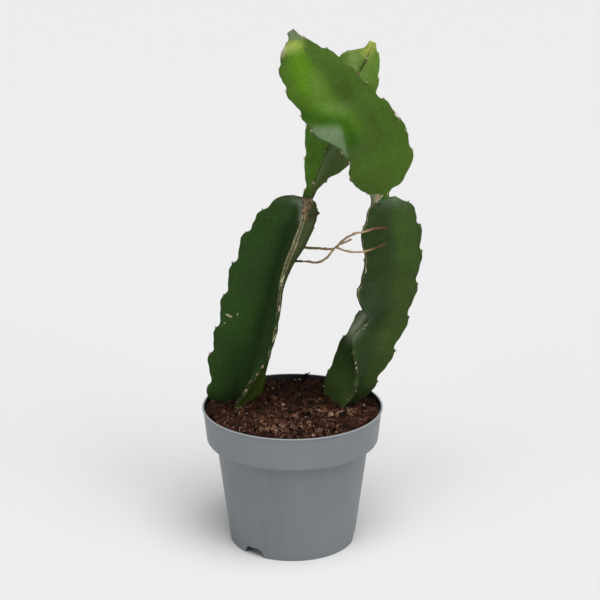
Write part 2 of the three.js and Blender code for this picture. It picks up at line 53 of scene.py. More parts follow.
# Pot
RIM_RADIUS = 60
POT_HEIGHT = 94
BASE_RADIUS = 42
NECK_RADIUS = 51
COLLAR_RADIUS = 57.2
COLLAR_BOTTOM = 71
COLLAR_BEVEL = 0.8
COLLAR_BEVEL_HEIGHT = 1.2
POT_WALL = 1.2
FLOOR_BOTTOM = 7
FLOOR_TOP = 8.6
CENTRE_FOOT_RADIUS = 9
LIP_HEIGHT = 1
LIP_WIDTH = 1.4
LIP_OVERHANG = 0.7
POT_CORNER = 0.5
POT_SIDES = 192
POT_SHARP_ANGLE = 50
NOTCHES = 3
NOTCH_WIDTH = 17.3
NOTCH_TOP_WIDTH = 11.3
NOTCH_HEIGHT = 5.8
NOTCH_CORNER = 2
NOTCH_REACH = (30, 60)
FIRST_NOTCH_BEARING = -127
DRAIN_HOLES = 6
DRAIN_HOLE_RADIUS = 3.5
DRAIN_RING_RADIUS = 27

# Soil
SEAT_GAP = 0.3
NECK_GAP = 0.4
COLLAR_GAP = 0.5
SOIL_BEVEL = 1.4
SOIL_EDGE_HEIGHT = 89.6
SOIL_MOUND = 0.8
SOIL_SWELL = 1.1
SOIL_LUMP = 1.1
SOIL_CLOD = 2
SOIL_RINGS = 80
SOIL_SIDES = 260
CHIPS = 1700
FLAT_CHIPS = 60
FIBRES = 2100
FRONT_FIBRES = 150
RIGHT_FIBRES = 70
FIBRE_STEPS = 7
GRAINS = 46

# Stems: how finely a winged stem is divided
TIP_POINTS = 7
FLANK_POINTS = 15
CAP_RINGS = 12
AXIS_STEP = 0.001

# Section of a stem, in shares of its core, of its reach or of a wing's depth
WEB_FULLNESS = 0.1
FLANK_LEAD = 0.5
VALLEY_ROUNDNESS = 0.62
VALLEY_SHARE = 0.85
THINNEST_CORE = 0.35
CAP_CORE = 0.7
CAP_RIM = 0.4
LEAST_REACH = 1.02
RIM_OF_REACH = 0.4

# Waves of a margin, the height and length of the skin's swells, and the cushion under an areole
WAVE_OVERTONE = 0.35
WAVE_PEAK = 1.15
SWELLS = ((0.32, 22), (0.1, 7))
CUSHION_HEIGHT = 0.45
CUSHION_RADIUS = 1.7

# Felt and spines of an areole
FELT_WIDTH = 0.85
FELT_DEPTH = 0.55
FELT_STRETCH = 1.25
SPINES = 3
SPINE_FAN = 0.55

# Scars: how many points go round one, and the share of its size and the height of each ring
SCAR_SIDES = 18
SCAR_RINGS = ((1, -0.3), (0.9, 0.05), (0.6, 0.2), (0.25, 0.24))

# Each winged stem: the radius of its wings' rims, where its top starts to round over, its number
# of rings, the radius of its woody core, its axis from bottom to top and its three wings. Keys are
# [t, value], with t from 0 at the bottom to 1 at the top. Scallop is the depth of the margin's
# waves. A bearing is in degrees from +X, seen from above; a reach is the wing's radius from the
# axis; areoles are the places of the spine cushions.
Stem = namedtuple("Stem", "rim cap_start rings core axis wings")
Wing = namedtuple("Wing", "scallop bearing reach areoles")

stem_left = Stem(
    rim=1.6, cap_start=0.965, rings=230,
    core=[[0, 7], [0.2, 8.5], [0.5, 9.5], [0.85, 9], [1, 8]],
    axis=[
        [-31, 20, 60], [-29, 19, 92], [-19, 15, 134], [-12, 12, 163], [-6, 9, 190], [2, 7, 215],
        [7, 6, 231], [8, 6, 234.2],
    ],
    wings=[Wing(
        scallop=1.5,
        bearing=[[0, 180], [0.167, 196], [0.343, 188], [0.59, 182], [1, 180]],
        reach=[
            [0, 9], [0.079, 16], [0.167, 27.5], [0.25, 30.7], [0.33, 33], [0.42, 33.2], [0.589, 33],
            [0.67, 32.4], [0.736, 31.2], [0.8, 29.4], [0.854, 26.9], [0.922, 22.6], [1, 14],
        ],
        areoles=[0.02, 0.113, 0.216, 0.329, 0.437, 0.569, 0.702, 0.81, 0.913],
    ), Wing(
        scallop=1,
        bearing=[
            [0, -90], [0.167, -116], [0.245, -105], [0.324, -95], [0.412, -82], [0.54, -82],
            [0.736, -90], [1, -84],
        ],
        reach=[[0, 12], [0.167, 20], [0.343, 24], [0.59, 24], [0.834, 23], [0.922, 20], [1, 13]],
        areoles=[0.059, 0.162, 0.26, 0.343, 0.427, 0.54, 0.638, 0.711, 0.785, 0.878, 0.952],
    ), Wing(
        scallop=0.9,
        bearing=[
            [0, 60], [0.177, 58], [0.343, 68], [0.49, 78], [0.608, 78], [0.707, 70], [0.785, 61],
            [1, 56],
        ],
        reach=[
            [0, 9], [0.177, 14], [0.294, 18], [0.442, 20], [0.638, 23.3], [0.72, 24.2], [0.785, 25.2],
            [0.84, 25], [0.88, 26.2], [0.92, 23.2], [0.95, 19.6], [1, 12],
        ],
        areoles=[0.098, 0.236, 0.363, 0.49, 0.618, 0.746, 0.864, 0.942],
    )],
)

stem_right = Stem(
    rim=1.6, cap_start=0.965, rings=230,
    core=[[0, 7], [0.2, 8.5], [0.5, 9.5], [0.85, 9.5], [0.96, 9], [1, 6]],
    axis=[
        [32, 20, 60], [35, 18, 92], [46, 15, 124], [57, 12, 150], [62, 10, 171], [64, 8, 199],
        [62.7, 7.6, 223], [61, 9.6, 234],
    ],
    wings=[Wing(
        scallop=1.15,
        bearing=[[0, 10], [1, 0]],
        reach=[
            [0, 7.5], [0.09, 11], [0.18, 15], [0.27, 17.2], [0.36, 19.4], [0.42, 19.6], [0.55, 18.4],
            [0.68, 19], [0.81, 20], [0.9, 18.8], [0.95, 15.6], [1, 8.6],
        ],
        areoles=[0.04, 0.16, 0.28, 0.43, 0.56, 0.68, 0.8, 0.89, 0.97],
    ), Wing(
        # The front wing is pinched in at about half its height.
        scallop=0.9,
        bearing=[
            [0, -100], [0.17, -96], [0.25, -86], [0.32, -92], [0.38, -104], [0.43, -118], [0.47, -128],
            [0.505, -131], [0.54, -124], [0.6, -130], [0.66, -142], [0.72, -141], [0.78, -132],
            [0.84, -138], [0.92, -140], [0.96, -143], [1, -132],
        ],
        reach=[
            [0, 10], [0.17, 20], [0.35, 23], [0.44, 26], [0.47, 25], [0.505, 16], [0.545, 16],
            [0.6, 24.6], [0.66, 25.2], [0.71, 23.8], [0.78, 25.2], [0.86, 25.2], [0.9, 24], [0.94, 20.4],
            [0.97, 17.6], [1, 16],
        ],
        areoles=[0.03, 0.165, 0.3, 0.42, 0.53, 0.67, 0.8, 0.92],
    ), Wing(
        scallop=1,
        bearing=[[0, 140], [0.3, 135], [1, 128]],
        reach=[
            [0, 10], [0.18, 18.5], [0.35, 19], [0.47, 17.3], [0.54, 16.5], [0.62, 19.5], [0.85, 22],
            [0.9, 21.6], [0.94, 18.4], [1, 15],
        ],
        areoles=[0.1, 0.235, 0.38, 0.5, 0.62, 0.74, 0.86, 0.96],
    )],
)

shoot_left = Stem(
    rim=1.1, cap_start=0.95, rings=180,
    core=[[0, 2.8], [0.12, 3.4], [0.3, 5.5], [0.6, 7], [0.85, 6], [1, 2.4]],
    axis=[
        [9, 8.5, 230], [15, 12, 246], [21, 15, 261], [29.5, 19, 283], [38, 21, 305], [46, 21, 321],
        [51.5, 20, 333],
    ],
    wings=[Wing(
        scallop=0.7,
        bearing=[[0, 180], [1, 180]],
        reach=[
            [0, 3], [0.08, 3.9], [0.14, 6.5], [0.24, 11], [0.33, 15], [0.42, 17.3], [0.59, 18.8],
            [0.76, 17.5], [0.84, 15.2], [0.9, 11], [0.95, 4], [1, 2.2],
        ],
        areoles=[0.07, 0.24, 0.42, 0.59, 0.76, 0.89],
    ), Wing(
        scallop=0.7,
        bearing=[[0, -93], [0.4, -92], [0.6, -94], [1, -91]],
        reach=[[0, 3], [0.12, 5.2], [0.29, 13], [0.46, 17], [0.66, 17], [0.82, 12], [0.93, 6], [1, 3]],
        areoles=[0.13, 0.32, 0.5, 0.67, 0.82, 0.91],
    ), Wing(
        scallop=0.7,
        bearing=[[0, 30], [1, 30]],
        reach=[
            [0, 2.8], [0.08, 3.4], [0.12, 5], [0.18, 9.8], [0.24, 15.4], [0.33, 20.4], [0.51, 21.2],
            [0.68, 20.6], [0.78, 18], [0.87, 13.6], [0.93, 8.2], [1, 2.8],
        ],
        areoles=[0.16, 0.34, 0.51, 0.67, 0.81, 0.94],
    )],
)

shoot_right = Stem(
    rim=1.2, cap_start=0.95, rings=220,
    core=[[0, 3.8], [0.08, 3.9], [0.17, 5.7], [0.51, 8], [0.804, 7], [0.931, 4.5], [1, 2.4]],
    axis=[
        [54.3, 4, 229], [54.8, -1, 240.5], [55, -7, 258], [45, -12, 283], [33, -14, 300], [16, -14, 321],
        [-1, -12, 345.4],
    ],
    wings=[Wing(
        scallop=0.8,
        bearing=[[0, -45], [0.08, -42], [0.16, -5], [0.24, 12], [0.5, 15], [1, 20]],
        reach=[
            [0, 4.4], [0.07, 4.4], [0.085, 7.8], [0.11, 7], [0.13, 9], [0.15, 13.6], [0.165, 15.4],
            [0.185, 16.6], [0.236, 22.3], [0.334, 24], [0.432, 22.3], [0.54, 19.8], [0.667, 17.6],
            [0.785, 15.6], [0.873, 10.4], [0.931, 5.4], [1, 2.6],
        ],
        areoles=[0.119, 0.256, 0.393, 0.491, 0.594, 0.701, 0.838, 0.941],
    ), Wing(
        scallop=0.9,
        bearing=[
            [0, -150], [0.236, -158], [0.334, -150], [0.393, -134], [0.442, -126], [0.53, -126],
            [0.589, -142], [0.647, -162], [1, -175],
        ],
        reach=[
            [0, 4.8], [0.085, 4.8], [0.1, 7.4], [0.115, 12], [0.13, 14.4], [0.15, 16.8], [0.2, 19.4],
            [0.24, 20.8], [0.27, 20.2], [0.3, 18.3], [0.324, 17.4], [0.393, 22], [0.452, 26.5],
            [0.51, 30.3], [0.559, 31], [0.628, 27.3], [0.696, 25.2], [0.775, 23.8], [0.873, 19.6],
            [0.931, 13.2], [0.961, 6.4], [1, 2.4],
        ],
        areoles=[0.099, 0.217, 0.334, 0.442, 0.603, 0.677, 0.794, 0.887, 0.961],
    ), Wing(
        scallop=1,
        bearing=[[0, 110], [1, 110]],
        reach=[
            [0, 4.2], [0.08, 4.3], [0.12, 9], [0.236, 14], [0.51, 15], [0.785, 13], [0.922, 9], [1, 4],
        ],
        areoles=[0.158, 0.295, 0.432, 0.56, 0.696, 0.824, 0.941],
    )],
)

# Air roots: the thickness and the route of each
air_roots = [
    (1.6, [
        [6.5, 27, 195.3], [15.5, 16, 198], [27, 2, 202], [34.5, -7, 211.5], [39.5, -10, 215.2],
        [47, -11.1, 217.2], [54, -7.3, 218], [61, -3.8, 217.5],
    ]),
    (1.5, [[1.5, 28, 185.5], [8, 18, 188.4], [15.5, 10, 190], [21, 5, 193.5], [27.5, 1.5, 202]]),
    (1.3, [
        [28, 1, 203], [33.3, -6, 203], [38.6, -10, 203], [46, -12.5, 204.2], [53.5, -9, 205.5],
        [60.3, -5, 207.3],
    ]),
    (1.2, [[31, -3.5, 206.5], [34.5, -9, 209.5], [38, -15, 213]]),
]
root_stub = (2.2, [[9, 8, 221], [15, 10, 222], [17.6, 10.5, 223.7]])

# Dry fibres that stand off the right shoot's margin
loose_fibres = [
    [[60, -8, 297.5], [62.5, -9, 296], [65.6, -10, 292.5], [66.9, -10, 289.5], [65.8, -9.5, 287]],
    [[70.5, -7, 282.5], [72.2, -8, 281], [73.4, -8, 278.6]],
]

# Scars: the place of each, the direction of its longer side, its length and its width
scars = {
    "left_cutting": [
        ((-42, 9, 153.6), (1, 0, -0.55), 5.2, 1.8),
        ((-36.2, 8.6, 154.6), (0.2, 0, 1), 2.1, 0.7),
        ((-44.9, 9.5, 148.4), (1, 0, 0), 1.3, 1.1),
        ((-46.6, 9.6, 146.2), (1, 0, 0), 0.7, 0.6),
        ((-31, 5.5, 205.2), (1, 0, 0), 0.7, 0.6),
        ((-16.3, 3.9, 222.5), (1, 0, 0), 0.6, 0.5),
        ((-6.2, -13.5, 185.5), (0.25, 0, 1), 8.5, 1.9),
        ((-8.4, -12.8, 166), (0.12, 0, 1), 8, 1.2),
        ((-11.6, -10.6, 145), (0.25, 0, 1), 7, 1.3),
        ((-19.5, -7.8, 123.8), (0.6, 0, 1), 2.8, 1.6),
        ((-31, -4.9, 105.8), (0.6, 0, 1), 2.8, 1.8),
    ],
    "right_cutting": [
        ((47.4, -10.9, 190), (0, 0, 1), 4.8, 1.3),
        ((41.3, -9, 127), (0.2, 0, 1), 2.6, 1.4),
        ((42, -9, 123), (0.2, 0, 1), 2.2, 1.2),
        ((48.4, -2, 150.2), (1, 0, 0.5), 2.4, 0.8),
        ((47.6, -2, 147.8), (1, 0, 0.4), 1.6, 0.6),
        ((39.4, -6, 119), (1, 0, 0), 0.8, 0.7),
        ((42, -6, 106), (1, 0, 0), 0.8, 0.7),
        ((35, -4, 100), (1, 0, 0), 0.7, 0.7),
    ],
}


def add_object(name, data):
    made = bpy.data.objects.new(name, data)
    bpy.context.scene.collection.objects.link(made)
    return made


# Camera
def make_camera():
    camera = add_object("camera", bpy.data.cameras.new("camera"))
    camera.location = Vector(CAMERA_PLACE) * MM
    camera.rotation_euler = (math.radians(90 - CAMERA_PITCH), 0, 0)
    camera.data.sensor_width = SENSOR_WIDTH
    camera.data.lens = FOCAL_SHARE * SENSOR_WIDTH
    camera.data.clip_end = 100
    bpy.context.scene.camera = camera


make_camera()


# Materials
class Graph:
    """A new material, with short ways to add nodes to it."""

    def __init__(self, name):
        self.material = bpy.data.materials.new(name)
        self.material.use_nodes = True
        self.tree = self.material.node_tree
        self.place = self.node("TexCoord").outputs["Object"]

    def node(self, kind, inputs=(), **settings):
        made = self.tree.nodes.new("ShaderNode" + kind)
        for key, value in settings.items():
            setattr(made, key, value)
        self.fill(made, inputs)
        return made

    def fill(self, node, inputs):
        """Links or sets the node's inputs, given by name or by number."""
        for key, value in dict(inputs).items():
            socket = node.inputs[key]
            if isinstance(value, bpy.types.NodeSocket):
                self.tree.links.new(value, socket)
            elif value is not None:
                socket.default_value = (*value, 1) if socket.type == "RGBA" else value

    def finish(self, colour, roughness, gloss, normal=None):
        self.fill(self.tree.nodes["Principled BSDF"], {
            "Base Color": colour, "Roughness": roughness, "Normal": normal, "Specular IOR Level": gloss,
        })
        return self.material

    def noise(self, scale, detail=3, roughness=0.5, stretch=None, distortion=0):
        place = self.place
        if stretch:
            place = self.node("Mapping", {"Vector": place, "Scale": stretch}).outputs["Vector"]
        return self.node("TexNoise", {
            "Vector": place, "Scale": scale, "Detail": detail, "Roughness": roughness,
            "Distortion": distortion,
        }).outputs["Fac"]

    def cells(self, scale):
        return self.node("TexVoronoi", {"Vector": self.place, "Scale": scale}).outputs["Distance"]

    def attribute(self, name, output="Fac"):
        return self.node("Attribute", attribute_name=name).outputs[output]

    def grey(self, value):
        return self.node("CombineColor", enumerate([value] * 3)).outputs[0]

    def maths(self, operation, *values, clamp=False):
        return self.node("Math", enumerate(values), operation=operation, use_clamp=clamp).outputs[0]

    def times(self, first, second):
        return self.maths("MULTIPLY", first, second)

    def scaled(self, value, factor, plus):
        return self.maths("MULTIPLY_ADD", value, factor, plus)

    def smooth(self, value, low, high, start=0, end=1):
        inputs = enumerate((value, low, high, start, end))
        return self.node("MapRange", inputs, interpolation_type="SMOOTHSTEP").outputs["Result"]

    def mix(self, share, first, second, blend="MIX"):
        inputs = {0: share, 6: first, 7: second}
        return self.node("Mix", inputs, data_type="RGBA", blend_type=blend).outputs[2]

    def ramp(self, value, *stops):
        """Colour from stops, each its position and its red, green and blue."""
        node = self.node("ValToRGB", {"Fac": value})
        elements = node.color_ramp.elements
        while len(elements) < len(stops):
            elements.new(0.5)
        for element, (position, *colour) in zip(elements, stops):
            element.position = position
            element.color = (*colour, 1)
        return node.outputs["Color"]

    def bump(self, height, distance, strength, under=None):
        return self.node("Bump", {
            "Height": height, "Distance": distance, "Strength": strength, "Normal": under,
        }).outputs["Normal"]


def skin_material(name, speck, rim, rim_share, roughness, gloss):
    """Waxy green skin. Point attributes give its tint with painted light and shade, the distance from the
    crest of a margin in millimetres, and how much of a cork line and of a cork crust it carries."""
    g = Graph(name)
    tint_and_shading = g.attribute("tint_and_shading", "Color")
    broad = g.smooth(g.noise(38, 2), 0.3, 0.7, 0.92, 1.08)
    mottle = g.smooth(g.noise(420, 4, 0.6), 0.25, 0.75, 0.88, 1.13)
    colour = g.mix(1, tint_and_shading, g.grey(g.times(broad, mottle)), "MULTIPLY")
    dots = g.times(g.smooth(g.cells(230), 0.1, 0.05), g.smooth(g.noise(60, 1), 0.55, 0.7))
    colour = g.mix(g.times(dots, 0.3), colour, speck)
    edge = g.attribute("edge")
    wobble = g.scaled(g.noise(240, 2), 0.8, -0.4)
    line = g.smooth(g.maths("ADD", edge, wobble), 0.9, 0.3)
    colour = g.mix(g.times(line, rim_share), colour, rim)
    drift = g.scaled(g.noise(150), 1.2, -1.5)
    aside = g.maths("ABSOLUTE", g.maths("ADD", edge, drift))
    breaks = g.scaled(g.noise(130, 4, 0.7), 1.6, -0.8)
    kept = g.smooth(g.maths("ADD", g.attribute("seam"), breaks), 0.4, 0.6)
    seam = g.times(kept, g.smooth(aside, 0.32, 0.12))
    colour = g.mix(seam, colour, g.ramp(
        g.noise(300, 3, 0.7), (0.35, 0.17, 0.12, 0.06), (0.5, 0.36, 0.3, 0.17), (0.65, 0.56, 0.5, 0.34),
    ))
    crust = g.scaled(g.noise(330, 4, 0.65), 1.3, -0.65)
    cork = g.smooth(g.maths("ADD", g.attribute("cork"), crust), 0.42, 0.58)
    bark = g.ramp(
        g.noise(520, 4, 0.7), (0.3, 0.045, 0.022, 0.012), (0.44, 0.16, 0.095, 0.052),
        (0.56, 0.34, 0.25, 0.145), (0.7, 0.58, 0.49, 0.33),
    )
    colour = g.mix(cork, colour, bark)
    sheen = g.scaled(g.noise(90), 0.16, roughness - 0.08)
    rough = g.maths("ADD", sheen, g.times(cork, 0.4), clamp=True)
    skin_bump = g.bump(g.noise(700, 3, 0.6), 0.00012, 0.5)
    ridge = g.bump(seam, 0.0002, 0.6, skin_bump)
    return g.finish(colour, rough, gloss, g.bump(g.times(cork, g.noise(800, 4, 0.7)), 0.0006, 0.8, ridge))


def toned_material(name, roughness, gloss, scale, variation, *stops):
    """Colour by each bit's own tone, a little mottled."""
    g = Graph(name)
    tone = g.scaled(g.noise(scale, 4, 0.65), variation, g.attribute("tone"))
    colour = g.ramp(g.maths("SUBTRACT", tone, variation / 2, clamp=True), *stops)
    return g.finish(colour, roughness, gloss, g.bump(g.noise(scale * 2, 3, 0.6), 0.0003, 0.6))


def pot_outer_material():
    g = Graph("grey_plastic")
    streaks = g.noise(160, 3, 0.6, stretch=(1, 1, 0.04))
    clouds = g.noise(22)
    colour = g.ramp(
        g.scaled(streaks, 0.4, g.times(clouds, 0.6)),
        (0.32, 0.18, 0.2, 0.216), (0.5, 0.194, 0.215, 0.231), (0.68, 0.208, 0.229, 0.244),
    )
    scuffs = g.smooth(g.noise(900, 2, 0.7, stretch=(1, 1, 0.25)), 0.66, 0.74)
    colour = g.mix(g.times(scuffs, 0.12), colour, (0.38, 0.41, 0.43))
    # Painted shade: the tapered wall below the collar is painted a little darker than the collar.
    height = g.node("SeparateXYZ", {0: g.place}).outputs["Z"]
    collar = g.smooth(height, (COLLAR_BOTTOM - 1) * MM, (COLLAR_BOTTOM + 3) * MM, 0.97, 1.07)
    colour = g.mix(1, colour, g.grey(collar), "MULTIPLY")
    # Painted highlight: the top of the lip is painted paler.
    lip_highlight = g.smooth(height, (POT_HEIGHT - 0.5) * MM, (POT_HEIGHT - 0.1) * MM)
    colour = g.mix(g.times(lip_highlight, 0.7), colour, (0.46, 0.49, 0.51))
    rough = g.scaled(g.noise(70, 4), 0.16, 0.4)
    grain = g.bump(g.noise(1400, 2), 0.0001, 0.4)
    return g.finish(colour, rough, 0.45, g.bump(streaks, 0.0001, 0.3, grain))


def pot_inner_material():
    g = Graph("black_plastic")
    dust = g.smooth(g.noise(260, 4, 0.7), 0.55, 0.75)
    colour = g.mix(g.times(dust, 0.5), (0.012, 0.012, 0.013), (0.05, 0.035, 0.025))
    return g.finish(colour, g.scaled(dust, 0.3, 0.42), 0.4)


def soil_material():
    g = Graph("peat")
    colour = g.ramp(
        g.noise(420, 6, 0.75, distortion=0.6), (0.3, 0.003, 0.002, 0.001), (0.48, 0.022, 0.01, 0.006),
        (0.62, 0.085, 0.037, 0.022), (0.78, 0.17, 0.085, 0.05),
    )
    return g.finish(colour, 0.92, 0.15, g.bump(g.noise(900, 5, 0.75), 0.0008, 0.9))


def root_material():
    g = Graph("air_root_bark")
    tone = g.scaled(g.noise(420, 5, 0.8), 0.9, g.attribute("tone"))
    colour = g.ramp(
        g.maths("SUBTRACT", tone, 0.45, clamp=True), (0, 0.045, 0.02, 0.012), (0.25, 0.15, 0.068, 0.032),
        (0.55, 0.36, 0.23, 0.12), (0.9, 0.56, 0.42, 0.26),
    )
    return g.finish(colour, 0.78, 0.25, g.bump(g.noise(700, 4, 0.7), 0.0004, 0.8))


spine_material = toned_material(
    "spine_horn", 0.5, 0.3, 900, 0.25,
    (0, 0.02, 0.012, 0.008), (0.5, 0.07, 0.04, 0.022), (0.9, 0.26, 0.17, 0.09),
)
old_felt = toned_material(
    "old_felt", 0.95, 0.1, 1500, 0.5, (0, 0.03, 0.02, 0.015), (0.5, 0.13, 0.09, 0.06), (1, 0.33, 0.27, 0.2),
)
young_felt = toned_material(
    "young_felt", 0.95, 0.1, 1500, 0.5,
    (0, 0.16, 0.11, 0.07), (0.5, 0.42, 0.34, 0.23), (1, 0.72, 0.66, 0.52),
)


# Meshes
def link_mesh(name, points, faces, materials, attributes=None, sharp=None):
    """Object from points in millimetres, with smooth faces and any point attributes."""
    mesh = bpy.data.meshes.new(name)
    mesh.from_pydata([tuple(p) for p in np.asarray(points) * MM], [], [tuple(f) for f in faces])
    for material in materials:
        mesh.materials.append(material)
    for key, values in (attributes or {}).items():
        values = np.asarray(values, np.float32)
        if values.ndim == 1:
            mesh.attributes.new(key, "FLOAT", "POINT").data.foreach_set("value", values)
        else:
            colours = np.column_stack([values, np.ones(len(values), np.float32)]).ravel()
            mesh.attributes.new(key, "FLOAT_COLOR", "POINT").data.foreach_set("color", colours)
    mesh.shade_smooth()
    if sharp:
        mesh.set_sharp_from_angle(angle=math.radians(sharp))
    mesh.validate()
    return add_object(name, mesh)


def dress(piece, slot, *nodes):
    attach(piece, "root")
    if nodes:
        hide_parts(*nodes)


class Pile:
    """Many small closed shapes gathered in one mesh, each with its own tone."""

    def __init__(self):
        self.points = []
        self.faces = []
        self.tones = []
        self.count = 0

    def add(self, points, faces, tone):
        self.points.append(points)
        self.faces += [[i + self.count for i in face] for face in faces]
        self.tones.append(np.broadcast_to(tone, len(points)))
        self.count += len(points)

    def build(self, name, material, slot, *nodes, sharp=None):
        tones = {"tone": np.concatenate(self.tones)}
        piece = link_mesh(name, np.concatenate(self.points), self.faces, [material], tones, sharp)
        dress(piece, slot, *nodes)


def quads(rings, sides):
    """Faces between closed rings of points."""
    return [
        (a + j, a + (j + 1) % sides, a + sides + (j + 1) % sides, a + sides + j)
        for a in range(0, (rings - 1) * sides, sides) for j in range(sides)
    ]


def flat_ended(rings, sides):
    """Faces of rings that end in two flat polygons."""
    last = (rings - 1) * sides
    return [range(sides)[::-1], range(last, last + sides)] + quads(rings, sides)


def point_ended(rings, sides):
    """Faces of rings that end in two more points, listed after the rings."""
    faces = quads(rings, sides)
    first = rings * sides
    for j in range(sides):
        k = (j + 1) % sides
        faces += [(first, k, j), (first + 1, first - sides + j, first - sides + k)]
    return faces


# Curves
def unit(v):
    v = np.asarray(v, float)
    return v / np.linalg.norm(v, axis=-1, keepdims=True)


def turns(sides):
    return 2 * np.pi * np.arange(sides) / sides


def polar(bearing, radius):
    return np.stack([radius * np.cos(bearing), radius * np.sin(bearing)], -1)


def rise(value, blur):
    return np.clip(value / blur, 0, 1)


def hump(distance, width):
    return np.exp(-((distance / width) ** 2))


def keyed(keys, t):
    """Smooth curve through [t, value] keys, at an array of t."""
    x, y = np.asarray(keys, float).T
    t = np.clip(t, x[0], x[-1])
    i = np.clip(np.searchsorted(x, t, side="right") - 1, 0, len(x) - 2)
    before = np.maximum(np.arange(len(x)) - 1, 0)
    after = np.minimum(np.arange(len(x)) + 1, len(x) - 1)
    slope = (y[after] - y[before]) / (x[after] - x[before])
    span = x[i + 1] - x[i]
    u = (t - x[i]) / span
    share = u * u * (3 - 2 * u)
    bend = slope[i] * span * u * (1 - u) ** 2 + slope[i + 1] * span * u * u * (u - 1)
    return y[i] * (1 - share) + y[i + 1] * share + bend


def axis_point(axis, t):
    """Points of an axis, its own points being keyed by their distance along it."""
    axis = np.asarray(axis, float)
    lengths = np.concatenate([[0], np.cumsum(np.linalg.norm(np.diff(axis, axis=0), axis=1))])
    shares = lengths / lengths[-1]
    return np.stack([keyed(np.stack([shares, axis[:, c]], 1), t) for c in range(3)], -1)


def smooth_path(route, steps):
    return axis_point(route, np.linspace(0, 1, steps))


def ripple(points, wavelength, seed, waves=10):
    """Smooth noise of about that wavelength, from -1 to 1."""
    rng = np.random.default_rng(seed)
    total = np.zeros(len(points))
    for _ in range(waves):
        direction = unit(rng.normal(size=3)) * rng.uniform(0.7, 1.5) / wavelength
        total += np.sin(2 * np.pi * (points @ direction + rng.uniform()))
    return total / math.sqrt(2 * waves)


# Form of a winged stem
def frames(stem, t):
    """Axis points with the stem's own directions there: along it, and two across it."""
    centre = axis_point(stem.axis, t)
    ahead = axis_point(stem.axis, np.minimum(t + AXIS_STEP, 1))
    along = unit(ahead - axis_point(stem.axis, np.maximum(t - AXIS_STEP, 0)))
    right = unit(np.array([1.0, 0, 0]) - along * along[..., :1])
    return centre, along, right, np.cross(along, right)


def margin_wave(areoles, t):
    """Waved margin: 0 at an areole, fullest just below it and drawn in just above it."""
    a = np.asarray(areoles)
    i = np.clip(np.searchsorted(a, t, side="right") - 1, 0, len(a) - 2)
    u = (t - a[i]) / (a[i + 1] - a[i])
    fade = np.clip(np.minimum(1 + u, 2 - u), 0, 1)
    return -fade * (np.sin(2 * np.pi * u) + WAVE_OVERTONE * np.sin(4 * np.pi * u)) / WAVE_PEAK


def cap_share(stem, t):
    """How much of the full section is left where the top rounds over."""
    over = np.maximum(0, (t - stem.cap_start) / (1 - stem.cap_start))
    return np.sqrt(np.maximum(0, 1 - over * over))


def wing_at(stem, wing, t):
    """Bearing in radians and reach of a wing's waved margin."""
    core = keyed(stem.core, t)
    waved = keyed(wing.reach, t) + wing.scallop * margin_wave(wing.areoles, t)
    reach = core * CAP_CORE + (waved - core * CAP_CORE) * cap_share(stem, t)
    return np.radians(keyed(wing.bearing, t)), np.maximum(reach, core * LEAST_REACH)


def ring_heights(stem):
    even = np.linspace(0, stem.cap_start, stem.rings)
    over = np.sin(np.pi / 2 * np.arange(1, CAP_RINGS + 1) / CAP_RINGS)
    return np.concatenate([even, stem.cap_start + (1 - stem.cap_start) * over])


def stem_columns(stem, t):
    """Section points at all heights, with each one's wing, depth below its margin, distance from
    the margin's crest, place on the flank (1 in the valley) and side of the wing."""
    cap = cap_share(stem, t)
    core = keyed(stem.core, t) * (THINNEST_CORE + (1 - THINNEST_CORE) * cap)
    wings = []
    for index, wing in enumerate(stem.wings):
        bearing, reach = wing_at(stem, wing, t)
        rim = np.minimum(stem.rim * (CAP_RIM + (1 - CAP_RIM) * cap), reach * RIM_OF_REACH)
        wings.append((index, bearing, reach, rim))
    wings.sort(key=lambda w: w[1][len(t) // 2])
    columns = []

    def flank(wing, valley_bearing, valley_radius, side):
        index, bearing, reach, rim = wing
        across = polar(bearing + np.pi / 2, side)
        depth = np.maximum(reach - core, 0)[:, None]
        start = polar(bearing, reach - rim) + across * rim[:, None]
        leave = start - FLANK_LEAD * depth * polar(bearing, 1) + WEB_FULLNESS * depth * across
        end = polar(valley_bearing, valley_radius)
        turned = polar(valley_bearing + np.pi / 2, side)
        arrive = end - VALLEY_ROUNDNESS * valley_radius[:, None] * turned
        found = []
        for u in np.arange(1, FLANK_POINTS + 1) / FLANK_POINTS:
            v = 1 - u
            p = v**3 * start + 3 * u * v**2 * leave + 3 * u * u * v * arrive + u**3 * end
            inward = reach - np.sum(p * polar(bearing, 1), -1)
            found.append((p, index, inward, inward + (np.pi / 2 - 1) * rim, u, side))
        return found

    for k, wing in enumerate(wings):
        index, bearing, reach, rim = wing
        after = wings[(k + 1) % len(wings)]
        ahead = after[1] + (2 * np.pi if k == len(wings) - 1 else 0)
        for turn in np.linspace(-np.pi / 2, np.pi / 2, TIP_POINTS):
            p = polar(bearing, reach - rim) + polar(bearing + turn, rim)
            columns.append((p, index, rim * (1 - np.cos(turn)), rim * abs(turn), 0, np.sign(turn)))
        middle = (bearing + ahead) / 2
        chord = (reach + after[2]) / 2 * np.cos((ahead - bearing) / 2)
        radius = np.minimum(core, np.maximum(VALLEY_SHARE * chord, THINNEST_CORE * core))
        columns += flank(wing, middle, radius, 1)
        columns += flank((after[0], ahead, *after[2:]), middle, radius, -1)[:-1][::-1]
    return columns


def margin_places(stem):
    """Place of each areole on its margin, and the directions out, along and across there."""
    places = []
    for wing in stem.wings:
        t = np.array(wing.areoles)
        centre, along, right, away = frames(stem, t)
        bearing, reach = wing_at(stem, wing, t)
        out = right * np.cos(bearing)[:, None] + away * np.sin(bearing)[:, None]
        places += zip(centre + out * reach[:, None], out, along, np.cross(along, out))
    return places


